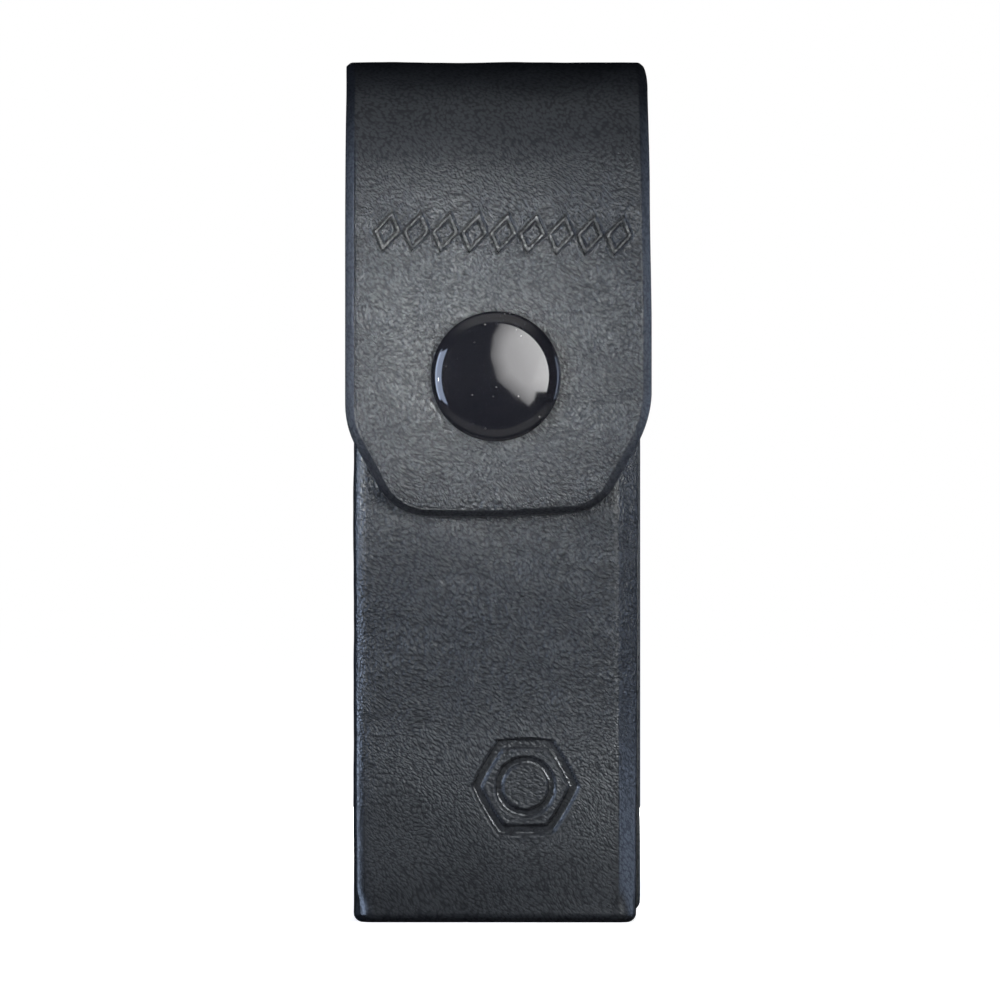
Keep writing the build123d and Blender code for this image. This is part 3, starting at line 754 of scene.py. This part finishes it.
# ---- belt loop, patch, stitches and rivets ----
LOOP_HALF = LOOP_HIGH[0]
LOOP_FOOT_Y = LOOP_LOW[1] + LEATHER / 2
LOOP_MIDDLE_Y = LOOP_HIGH[1] - LEATHER / 2
LOOP_FOOT_LENGTH = 9.5
LOOP_RAMP = 2.2
LOOP_BEND = 2.2
LOOP_LUMPS = ((0.10, 6.0), (0.03, 2.4))
PATCH_LUMPS = ((0.06, 5.0),)
RIVET_LOW, RIVET_TOP = box_mm("rivet_caps")
RIVET_Y = RIVET_LOW[1]
RIVET_HEIGHT = RIVET_TOP[1] - RIVET_Y
RIVET_RADIUS = 3.4
RIVET_DISH = 0.22
RIVET_SIDES = 48
RIVET_SHARP = 35
LOOP_CORNER = 2.6
LOOP_EDGE = 0.5
PATCH_CORNER = 1.0
PATCH_EDGE = 0.25


def flat_piece(name, path, half, depths, corner, edge, step, relief):
    """A strip of even width along a path, with rounded corners and eased edges."""
    total = path.marks[-1]
    ends = corner * (1 - np.cos(np.radians(np.linspace(0, 90, 10))))
    runs = [spread(max(a, corner), min(b, total - corner), 0.3 if run[3] else step)
            for a, b, run in zip(path.marks, path.marks[1:], path.runs)]
    along = np.unique(np.round(np.concatenate([ends, total - ends] + runs), 4))
    from_end = np.minimum(along, total - along)
    half_here = half - corner_pull(from_end, corner)
    columns = rim_columns(half_here, half_here, edge, step)
    length = np.repeat(along[:, None], columns.shape[1], axis=1)
    gap = np.minimum(side_gap(columns), from_end[:, None])
    fall = rounding(gap, edge, edge)
    plain = sheet_points(path, columns, length, 0)
    outer = sheet_points(path, columns, length, depths[0] + fall + relief(plain, gap))
    inner = sheet_points(path, columns, length, depths[1] - fall)
    return thick_grid(name, outer, inner, rim=1 - smoothstep(0.1, 1.5 * edge, gap))


def rivet_places():
    """Middle of each rivet, as (x, z)."""
    x = RIVET_TOP[0] - RIVET_RADIUS
    heights = (RIVET_LOW[2] + RIVET_RADIUS, RIVET_TOP[2] - RIVET_RADIUS)
    return [(side * x, z) for z in heights for side in (-1, 1)]


def loop_relief(points, gap):
    """The loop's creased border, the dishes its rivets pull, and its unevenness."""
    sunk = groove(gap - 1.7, 0.16, 0.16, 0.12)
    for x, z in rivet_places():
        far = np.hypot(points[..., 0] - x, points[..., 2] - z)
        sunk = sunk + RIVET_DISH * bell(far - 0.85 * RIVET_RADIUS, 1.1)
    return sunk + unevenness(points, 8, LOOP_LUMPS)


def patch_relief(points, gap):
    """The suede patch is only uneven."""
    return unevenness(points, 12, PATCH_LUMPS)


def loop_path():
    """The belt loop's middle line from its lower riveted end to its upper one."""
    rise = LOOP_MIDDLE_Y - LOOP_FOOT_Y
    turn = math.degrees(math.atan2(rise, LOOP_RAMP))
    tangent = LOOP_BEND * math.tan(math.radians(turn) / 2)
    ramp = math.hypot(rise, LOOP_RAMP) - 2 * tangent
    middle = LOOP_HIGH[2] - LOOP_LOW[2] - 2 * (LOOP_FOOT_LENGTH + LOOP_RAMP) - 2 * tangent
    path = Path(LOOP_FOOT_Y, LOOP_LOW[2], 90).line(LOOP_FOOT_LENGTH - tangent)
    path.arc(LOOP_BEND, -turn).line(ramp).arc(LOOP_BEND, turn).line(middle)
    return path.arc(LOOP_BEND, turn).line(ramp).arc(LOOP_BEND, -turn).line(LOOP_FOOT_LENGTH - tangent)


STRAND_RADIUS = 0.2
STRAND_OFFSET = 0.16
STRAND_TWIST = 5.2  # radians to the millimetre
STITCH_HALF = 1.3


def stitch_seam(name, seam):
    """Two-ply twisted stitches, their ends diving into the needle holes."""
    share = np.linspace(-1, 1, 21)
    dive = 0.75 * smoothstep(0.62, 1.0, np.abs(share))
    sides = np.linspace(0, 2 * math.pi, 8, endpoint=False)
    rings = []
    for number, (owner, x, z, way) in enumerate(stitch_places()):
        if owner != seam:
            continue
        forward, side = np.eye(3)[[2, 0] if way == "z" else [0, 2]]
        middle = np.array([x, PANEL_HIGH[1] - 0.15, z])
        line = middle + STITCH_HALF * share[:, None] * forward - dive[:, None] * np.array([0, 1, 0])
        for ply in (0, math.pi):
            turn = ply + 1.7 * number + STRAND_TWIST * STITCH_HALF * share
            offset = np.cos(turn)[:, None] * side + np.sin(turn)[:, None] * np.array([0, 1, 0])
            ring = np.cos(sides)[:, None] * side + np.sin(sides)[:, None] * np.array([0, 1, 0])
            rings.append((line + STRAND_OFFSET * offset)[:, None] + STRAND_RADIUS * ring[None])
    return tubes(name, np.array(rings))


def rivet_outline():
    """Section of a rivet's cap: a low dome rolled under at its edge."""
    edge = 0.42
    dome = arc_points((0, edge), RIVET_RADIUS - 0.06, RIVET_HEIGHT - edge, 90, 4, 14)
    roll = arc_points((RIVET_RADIUS - 0.2, 0.22), 0.2, 0.22, 20, -90, 6)
    return dome + roll + [(0, 0)]


# ---- materials ----
class Look:
    """A node material in the making. Most calls add a node and give back its output."""

    def __init__(self, name, roughness, metallic=0.0):
        self.material = bpy.data.materials.new(name)
        self.material.use_nodes = True
        self.tree = self.material.node_tree
        self.shader = self.tree.nodes["Principled BSDF"]
        self.place = self.node("ShaderNodeTexCoord", output="Object")
        self.finish("Roughness", roughness)
        self.finish("Metallic", metallic)

    def put(self, socket, value):
        """Links a socket to another node's output, or sets its value."""
        if isinstance(value, bpy.types.NodeSocket):
            self.tree.links.new(value, socket)
        else:
            socket.default_value = (*value, 1) if socket.type == "RGBA" else value

    def node(self, kind, inputs=None, output=0, **settings):
        """A new node with these settings and inputs."""
        made = self.tree.nodes.new(kind)
        for key, value in settings.items():
            setattr(made, key, value)
        for key, value in (inputs or {}).items():
            self.put(made.inputs[key], value)
        return made.outputs[output]

    def finish(self, name, value):
        """Sets or links one of the shader's inputs."""
        self.put(self.shader.inputs[name], value)

    def mix(self, factor, first, second):
        """Two colours mixed."""
        return self.node("ShaderNodeMix", {0: factor, 6: first, 7: second}, 2, data_type="RGBA")

    def calculate(self, operation, *values):
        """One sum on values."""
        return self.node("ShaderNodeMath", dict(enumerate(values)), operation=operation)

    def times(self, first, second):
        """The product of two values."""
        return self.calculate("MULTIPLY", first, second)

    def plus(self, base, value, factor):
        """A base value with another value, times a factor, added to it."""
        return self.calculate("MULTIPLY_ADD", value, factor, base)

    def ramp(self, value, *stops):
        """Grey levels on a value, from two (place, level) stops."""
        output = self.node("ShaderNodeValToRGB", {"Fac": value}, "Color")
        for element, (place, level) in zip(output.node.color_ramp.elements, stops):
            element.position = place
            element.color = (level, level, level, 1)
        return output

    def noise(self, scale, detail=2.0, roughness=0.5, place=None):
        """Noise from 0 to 1 with about this many lumps to the metre."""
        place = self.place if place is None else place
        inputs = {"Vector": place, "Scale": scale, "Detail": detail, "Roughness": roughness}
        return self.node("ShaderNodeTexNoise", inputs, "Fac")

    def spots(self, place, size):
        """Scattered round spots, 900 to the metre, fading out at this share of their spacing."""
        cells = self.node("ShaderNodeTexVoronoi", {"Vector": place, "Scale": 900.0}, "Distance", feature="F1")
        return self.ramp(cells, (0.05, 1.0), (size, 0.0))

    def stretched(self, angle, scale, place=None):
        """Coordinates turned about the Y axis and drawn out along their own axes, for directed grain."""
        place = self.place if place is None else place
        inputs = {"Vector": place, "Rotation": (0, math.radians(angle), 0), "Scale": scale}
        return self.node("ShaderNodeMapping", inputs, vector_type="TEXTURE")

    def painted(self, name):
        """A value that the mesh carries at its points."""
        return self.node("ShaderNodeAttribute", output="Fac", attribute_name=name)

    def bump(self, height, strength, distance):
        """Small relief on the surface, of this many metres at full height."""
        inputs = {"Height": height, "Strength": strength, "Distance": distance}
        self.finish("Normal", self.node("ShaderNodeBump", inputs))


GRAIN_ANGLE = 42
DYE_DARK = (0.009, 0.0098, 0.0115)
DYE_LIGHT = (0.018, 0.0192, 0.0215)
PORE_BLACK = (0.003, 0.003, 0.004)
BURNISHED = (0.006, 0.0066, 0.009)


def leather_material(name, dark, light, roughness):
    """Dyed full-grain hide: slanting wrinkles, fine pebble, pores, polished wear and burnished edges, with
    painted light and shade from a point attribute that also sets the grain's strength.
    """
    look = Look(name, roughness)
    wander = look.node("ShaderNodeTexNoise", {"Vector": look.place, "Scale": 120.0, "Detail": 2.0}, "Color")
    pull = look.node("ShaderNodeVectorMath", {0: wander, "Scale": 0.0035}, operation="SCALE")
    bent = look.node("ShaderNodeVectorMath", {0: look.place, 1: pull}, operation="ADD")
    folds = look.noise(4900.0, 1.0, place=look.stretched(GRAIN_ANGLE, (1.7, 1.0, 1.0), bent))
    crossing = look.noise(1700.0, place=look.stretched(-30, (1.5, 1.2, 0.9), bent))
    drawn = look.stretched(GRAIN_ANGLE, (1.5, 1.0, 1.0), bent)
    pebbled = {"Vector": drawn, "Scale": 2900.0, "Smoothness": 0.3}
    pebble = look.node("ShaderNodeTexVoronoi", pebbled, "Distance", feature="SMOOTH_F1")
    pit = look.times(look.ramp(pebble, (0.42, 0.0), (0.72, 1.0)), 0.6)
    sparse = look.ramp(look.noise(170.0), (0.42, 0.0), (0.60, 1.0))
    pore = look.calculate("MAXIMUM", look.times(look.spots(bent, 0.17), sparse), pit)
    patch = look.ramp(look.noise(90.0, 4.0, 0.6), (0.32, 0.0), (0.68, 1.0))
    rim, painted_light_and_grain, polish = [look.painted(kind) for kind in ("rim", "painted_light_and_grain", "polish")]

    tone = look.mix(patch, dark, light)
    tone = look.mix(look.ramp(folds, (0.45, 0.0), (0.75, 0.6)), tone, light)
    # Painted light and shade: where the point attribute is high the tone is lifted towards a lighter copy of
    # the dye, so the flap's front and the pocket's upper part look lit and the strap's top and the pocket's
    # foot look shaded.
    tone = look.mix(look.times(painted_light_and_grain, 0.6), tone, tuple(1.7 * c for c in light))
    tone = look.mix(look.times(pore, 0.8), tone, PORE_BLACK)
    tone = look.mix(look.times(rim, 0.75), tone, BURNISHED)
    look.finish("Base Color", tone)
    look.finish("Specular IOR Level", look.plus(0.5, pore, -0.3))
    look.finish("Specular Tint", (0.90, 0.96, 1.0))

    rough = roughness
    for value, factor in ((patch, 0.07), (pebble, 0.06), (painted_light_and_grain, -0.03), (rim, 0.04), (polish, -0.17)):
        rough = look.plus(rough, value, factor)
    look.finish("Roughness", rough)

    height = look.times(folds, 0.75)
    for value, factor in ((crossing, 0.3), (pebble, -0.4), (pore, -0.25)):
        height = look.plus(height, value, factor)
    strength = look.plus(0.08, look.times(painted_light_and_grain, painted_light_and_grain), 0.92)
    strength = look.times(strength, look.plus(1.0, rim, -0.75))
    strength = look.times(strength, look.plus(1.0, polish, -0.6))
    look.bump(height, strength, 0.00030)
    return look.material


def suede_material(name):
    """Black split suede, with short fibres lying in soft patches."""
    look = Look(name, 0.92)
    fibres = look.noise(3200.0, 3.0, 0.7, look.stretched(20, (2.5, 1, 1)))
    patch = look.noise(220.0, 3.0)
    look.finish("Base Color", look.mix(look.times(fibres, patch), (0.008, 0.008, 0.009), (0.07, 0.07, 0.074)))
    look.finish("Sheen Weight", 0.25)
    look.finish("Sheen Roughness", 0.5)
    look.bump(fibres, 0.8, 0.00012)
    return look.material


def enamel_material(name):
    """Baked gloss black enamel with a trace of dust and fine rubbing marks."""
    look = Look(name, 0.07)
    dusty = look.ramp(look.noise(420.0, 3.0), (0.46, 0.0), (0.62, 1.0))
    speck = look.times(look.times(look.spots(look.place, 0.12), dusty), 0.4)
    look.finish("Base Color", look.mix(speck, (0.0042, 0.0045, 0.0060), (0.30, 0.29, 0.29)))
    haze = look.ramp(look.noise(260.0, 5.0, 0.65), (0.4, 0.0), (0.75, 1.0))
    look.finish("Roughness", look.plus(0.045, haze, 0.05))
    look.bump(look.noise(2400.0, place=look.stretched(GRAIN_ANGLE, (16, 1, 1))), 0.05, 0.00001)
    return look.material


def metal_material(name, colour, roughness):
    """Plated metal: fine turning marks, faint tarnish in patches."""
    look = Look(name, roughness, 1.0)
    tarnish = look.ramp(look.noise(500.0, 4.0, 0.6), (0.4, 0.0), (0.75, 1.0))
    dull = tuple(0.55 * c for c in colour)
    look.finish("Base Color", look.mix(look.times(tarnish, 0.6), colour, dull))
    look.finish("Roughness", look.plus(roughness, tarnish, 0.16))
    look.bump(look.noise(6000.0, place=look.stretched(0, (10, 1, 1))), 0.15, 0.00002)
    return look.material


def thread_material(name):
    """Waxed black thread with its fibres along the ply."""
    look = Look(name, 0.5)
    fibres = look.noise(7000.0, 2.0, 0.6)
    look.finish("Base Color", look.mix(fibres, (0.01, 0.01, 0.012), (0.055, 0.055, 0.06)))
    look.bump(fibres, 0.6, 0.00006)
    return look.material


MATERIALS = {
    "black_leather": leather_material("black_leather", DYE_DARK, DYE_LIGHT, 0.36),
    "suede_lining": suede_material("suede_lining"),
    "black_enamel": enamel_material("black_enamel"),
    "nickelled_brass": metal_material("nickelled_brass", (0.58, 0.56, 0.51), 0.26),
    "spring_wire": metal_material("spring_wire", (0.6, 0.6, 0.62), 0.2),
    "waxed_thread": thread_material("waxed_thread"),
}


def dress(piece, slot):
    """Gives a piece the material of a slot."""
    piece.data.materials.clear()
    piece.data.materials.append(MATERIALS[slot])


def fix(piece, slot, body, replaced):
    """Dresses a piece and fixes it to a body, in place of a CAD node."""
    dress(piece, slot)
    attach(piece, body)
    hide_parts(replaced)


# ---- leather pieces ----
STEP = 0.21
LINING_START = S_TOP + 2.6
LINING_EDGE = (0.12, 0.12)
LINING_INNER_EDGE = (0.25, 0.25)
POCKET_EDGE = 0.55
POCKET_LINING_EDGE = 0.2
WINDOW_GAP = 0.15  # clearance round the suede patch in the pocket's open rear

rear_skin = strap_rear("strap_rear_skin", 2 * STEP)
front_skin = strap_front("strap_front_skin", 0, LEATHER, FLAP_EDGE, FLAP_INNER_EDGE, STEP, S_CUT, flap_relief)
lining_skin = strap_front("strap_lining", LEATHER, LEATHER + LINING, LINING_EDGE, LINING_INNER_EDGE, 2 * STEP,
                          LINING_START, plain_relief)


dress(rear_skin, "black_leather")
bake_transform(rear_skin)
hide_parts("back_panel", "flap_bridge")

for skin, slot, nodes in ((front_skin, "black_leather", ("flap_bridge", "flap_front")),
                          (lining_skin, "suede_lining", ("bridge_lining", "flap_lining"))):
    dress(skin, slot)
    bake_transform(skin)
    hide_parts(*nodes)

shell = pocket_layer("moulded_pocket", 0.0, LEATHER, PATCH_HIGH[0] + WINDOW_GAP, PATCH_LOW[2] - WINDOW_GAP,
                     STEP, POCKET_EDGE, pocket_relief)
pocket_lining = pocket_layer("pocket_lining", LEATHER, LINING, POCKET_HALF + 1.0, LEATHER + LINING + 0.3,
                             2.5 * STEP, POCKET_LINING_EDGE)
fix(shell, "black_leather", "pouch", "front_shell")
fix(pocket_lining, "suede_lining", "pouch", "shell_lining")

# ---- press stud cap ----
CAP_LIFT = FLAP_FACE - CAP_LOW[1]
FACE_RADIUS = 0.815 * CAP_RADIUS
FACE_DROP = 0.45
BEVEL_END = 0.965 * CAP_RADIUS
BEVEL_LEAN = (19, 40)  # degrees off the face, where the bevel starts and ends
BEVEL_STEPS = 9
CREASE_STEP = 0.05  # the fine crease between face and bevel
RIM_TALL = 1.1  # height of the rim's round, as a share of its width
CAP_WALL = 0.8
CAP_SEAT = 0.7  # height of the hollow's side, and of its middle
CAP_ROOF = 1.0
CAP_SIDES = 144
CAP_SHARP = 10.5


def cap_outline():
    """Section of the cap: a shallow domed face, a fine crease, and a rounded bevel down to the hide."""
    sphere = (FACE_RADIUS**2 + FACE_DROP**2) / (2 * FACE_DROP)
    radii = np.append(np.linspace(0, FACE_RADIUS - 0.3, 14), [FACE_RADIUS - CREASE_STEP, FACE_RADIUS])
    outline = [(r, CAP_LIFT - sphere + math.sqrt(sphere**2 - r * r)) for r in radii]
    even = (BEVEL_END - FACE_RADIUS - CREASE_STEP) / BEVEL_STEPS
    for step in [CREASE_STEP] + [even] * BEVEL_STEPS:
        r, height = outline[-1]
        share = (r + step / 2 - FACE_RADIUS) / (BEVEL_END - FACE_RADIUS)
        lean = math.radians(BEVEL_LEAN[0] + (BEVEL_LEAN[1] - BEVEL_LEAN[0]) * share)
        outline.append((r + step, height - step * math.tan(lean)))
    turn = CAP_RADIUS - BEVEL_END
    tall = RIM_TALL * turn
    ease = math.degrees(math.atan(RIM_TALL / math.tan(lean)))
    outline += arc_points((BEVEL_END, outline[-1][1] - tall), turn, tall, ease, 0, 8)
    roll = arc_points((CAP_RADIUS - 0.3, 0.2), 0.3, 0.2, 0, -90, 11)
    inside = [(CAP_RADIUS - CAP_WALL, 0.0), (CAP_RADIUS - CAP_WALL, CAP_SEAT), (0, CAP_ROOF)]
    return outline + roll + inside


cap = lathe("snap_cap_shell", cap_outline(), [(0, FLAP_FACE, SNAP_Z)], (0, -1, 0), CAP_SIDES, CAP_SHARP)
fix(cap, "black_enamel", "flap_front", "snap_cap")

# ---- rear and inner pieces ----
loop = flat_piece("riveted_belt_loop", loop_path(), LOOP_HALF, (-LEATHER / 2, LEATHER / 2), LOOP_CORNER,
                  LOOP_EDGE, 2 * STEP, loop_relief)
fix(loop, "black_leather", "pouch", "belt_loop")

patch_path = Path(PATCH_LOW[1], PATCH_HIGH[2], 270).line(PATCH_HIGH[2] - PATCH_LOW[2])
patch = flat_piece("suede_patch", patch_path, PATCH_HIGH[0], (0, LINING), PATCH_CORNER, PATCH_EDGE, 4 * STEP,
                   patch_relief)
fix(patch, "suede_lining", "pouch", "back_lining")

for seam in ("left_seam", "right_seam", "base_seam"):
    fix(stitch_seam(seam + "_stitches", seam), "waxed_thread", "pouch", seam + "_thread")

rivet_middles = [(x, RIVET_Y, z) for x, z in rivet_places()]
rivets = lathe("rivet_domes", rivet_outline(), rivet_middles, (0, 1, 0), RIVET_SIDES, RIVET_SHARP)
fix(rivets, "black_enamel", "pouch", "rivet_caps")

for name in ("cap_post", "snap_socket", "snap_stud", "stud_post", "rivet_posts"):
    dress(frame["nodes"][name], "nickelled_brass")
dress(frame["nodes"]["socket_spring"], "spring_wire")


# ---- studio ----
WARM = (1.0, 0.97, 0.91)
BLUE = (0.62, 0.74, 1.0)
WHITE = (1.0, 1.0, 1.0)


def area_light(name, place, aim, size, power, colour=WHITE, beam=180):
    """A soft rectangular light that the camera doesn't see."""
    data = bpy.data.lights.new(name, "AREA")
    data.shape = "RECTANGLE"
    data.size, data.size_y = size
    data.energy = power
    data.color = colour
    data.spread = math.radians(beam)
    light = linked(name, data)
    aimed(light, place, aim)
    light.visible_camera = False


def glow_material(name, strength):
    """A glowing surface for reflector cards, dimmed by its "dim" attribute."""
    look = Look(name, 1.0)
    glow = look.node("ShaderNodeEmission", {"Strength": look.plus(strength, look.painted("dim"), -strength)})
    look.put(look.tree.nodes["Material Output"].inputs["Surface"], glow)
    return look.material


def staged(name, points, faces, material):
    """A studio surface, which isn't part of the object."""
    mesh = bpy.data.meshes.new(name)
    mesh.from_pydata([tuple(p) for p in points], [], faces)
    mesh.materials.append(material)
    made = linked(name, mesh)
    return made


def dimmed_card(name, points, faces, strength, dim):
    """A glowing card that only reflections and the object's surfaces see, dimmed at each of its points."""
    card = staged(name, points, faces, glow_material(name, strength))
    card.data.attributes.new("dim", "FLOAT", "POINT").data.foreach_set("value", dim)
    card.visible_camera = False
    card.visible_shadow = False
    return card


# The card whose reflection shows in the cap. Its outline is given as (x, z) on the cap's face in
# millimetres, with how far it dims there, and is thrown forward as the domed face reflects it.
CARD_GLOW = 12.5
CARD_DISTANCE = 160.0
CARD_MIDDLE = (4.2, 3.0)
CARD_INNER = (0.62, 0.45)  # size and dimming of the ring inside the outline, as shares of the outline's
CARD_OUTLINE = ((0.4, 7.4, 0.8), (-0.6, 5.6, 0.82), (-0.95, 2.9, 0.82), (0.0, -0.3, 0.82),
                (1.7, -1.8, 0.8), (4.0, -3.5, 0.7), (4.7, -2.7, 0.5), (4.9, -1.7, 0.3),
                (8.0, -1.7, 0.0), (8.0, 7.4, 0.0), (5.0, 7.6, 0.2))


def studio_card():
    """A glowing card, softly dimmed towards its left and lower edges."""
    dome = (FACE_RADIUS**2 + FACE_DROP**2) / (2 * FACE_DROP)
    throw = 1 + 2 * CARD_DISTANCE / dome
    middle = np.array(CARD_MIDDLE)
    outline = np.array([corner[:2] for corner in CARD_OUTLINE])
    dim = [corner[2] for corner in CARD_OUTLINE]
    flat = np.concatenate([outline, middle + CARD_INNER[0] * (outline - middle)])
    y = CAP_LOW[1] - CARD_DISTANCE
    points = [(x * throw * MM, y * MM, (SNAP_Z + z * throw) * MM) for x, z in flat]
    count = len(outline)
    faces = [(k, (k + 1) % count, count + (k + 1) % count, count + k) for k in range(count)]
    faces.append(tuple(range(count, 2 * count)))
    dimmed_card("studio_card", points, faces, CARD_GLOW, dim + [CARD_INNER[1] * d for d in dim])


studio_card()
area_light("near_left", (-0.058, -0.135, 0.0755), (-0.009, -0.017, 0.072), (0.02, 0.03), 0.0053, WARM, 21)
area_light("near_right", (0.055, -0.120, 0.074), (0.006, -0.017, 0.070), (0.02, 0.03), 0.0037, WARM, 24)
area_light("near_low", (0.045, -0.120, 0.040), (-0.012, -0.017, 0.074), (0.02, 0.02), 0.0046, WARM, 26)
area_light("low_left", (-0.060, -0.135, 0.045), (0, 0, 0.04), (0.02, 0.02), 0.020)
area_light("low_right", (0.066, -0.130, 0.050), (0.0, 0, 0.04), (0.012, 0.03), 0.085)
area_light("left_panel", (-0.46, -0.30, 0.07), (0, 0, 0.06), (0.26, 0.45), 2.9, BLUE)
area_light("left_strip", (-0.42, -0.18, 0.06), (0, 0, 0.06), (0.05, 0.45), 0.3, BLUE)
area_light("left_spot", (-0.36, -0.24, 0.055), (0, 0, 0.06), (0.02, 0.02), 0.08)
area_light("left_back", (-0.45, 0.08, 0.06), (0, 0, 0.06), (0.3, 0.4), 0.1, BLUE)
area_light("right_side", (0.55, -0.02, 0.06), (0, 0, 0.06), (0.3, 0.4), 1.6, BLUE)
area_light("rear_near", (0.0, 0.40, 0.055), (0, 0, 0.055), (0.03, 0.09), 2.0)

world = bpy.data.worlds.new("studio")
bpy.context.scene.world = world
world.use_nodes = True
world.node_tree.nodes["Background"].inputs["Color"].default_value = (1, 1, 1, 1)
world.node_tree.nodes["Background"].inputs["Strength"].default_value = 1.0
world.cycles_visibility.diffuse = False
world.cycles_visibility.glossy = False


def floor_material():
    """A near-white studio floor that glows out to the backdrop and keeps a soft shadow near the object."""
    look = Look("studio_floor", 0.9)
    far = look.node("ShaderNodeVectorMath", {0: look.place}, "Value", operation="LENGTH")
    reach = {"Value": far, "From Min": 0.03, "From Max": 0.3, "To Min": 0.80, "To Max": 1.0}
    look.finish("Emission Strength", look.node("ShaderNodeMapRange", reach, interpolation_type="SMOOTHSTEP"))
    look.finish("Emission Color", (1, 1, 1))
    look.finish("Base Color", (0.8, 0.8, 0.8))
    look.finish("Specular IOR Level", 0.0)
    return look.material


# Dim cards whose reflection shows only in the cap's bevel: one at the object's foot, one overhead.
FOOT_CARD = ((-0.17, 1.0), (-0.07, 0.3), (0.04, 0.0), (0.08, 0.0), (0.15, 1.0))  # x and how far it dims there
TOP_CARD = ((-0.55, 1.0), (-0.25, 0.1), (0.20, 0.0), (0.50, 1.0))


def reflector(name, columns, low, high, strength):
    """A strip of card between two (y, z) places, dimmed at each of its columns."""
    points = [(x, *end) for x, _ in columns for end in (low, high)]
    faces = [(2 * k, 2 * k + 2, 2 * k + 3, 2 * k + 1) for k in range(len(columns) - 1)]
    dim = [level for _, level in columns for _ in (low, high)]
    dimmed_card(name, points, faces, strength, dim).visible_diffuse = False


reflector("foot_card", FOOT_CARD, (-0.105, 0.0005), (-0.042, 0.0005), 0.5)
reflector("top_card", TOP_CARD, (-0.50, 0.55), (-0.10, 0.60), 0.8)

FLOOR_HALF = 3.0
floor_corners = [(a * FLOOR_HALF, b * FLOOR_HALF, 0) for a, b in ((-1, -1), (1, -1), (1, 1), (-1, 1))]
studio_floor = staged("studio_floor", floor_corners, [(0, 1, 2, 3)], floor_material())
studio_floor.visible_diffuse = False
studio_floor.visible_glossy = False

CAMERA_DISTANCE = 1.1
CAMERA_TURN = math.radians(0.7)
CAMERA_AIM = Vector((0.0003, 0, 0.05283))
camera_data = bpy.data.cameras.new("camera")
camera_data.lens = 313.5
camera_data.sensor_width = 36.0
camera_data.clip_start = 0.05
camera = linked("camera", camera_data)
camera_way = Vector((math.sin(CAMERA_TURN), -math.cos(CAMERA_TURN), 0))
aimed(camera, CAMERA_AIM + CAMERA_DISTANCE * camera_way, CAMERA_AIM)
bpy.context.scene.camera = camera
bpy.context.scene.view_settings.view_transform = "Standard"
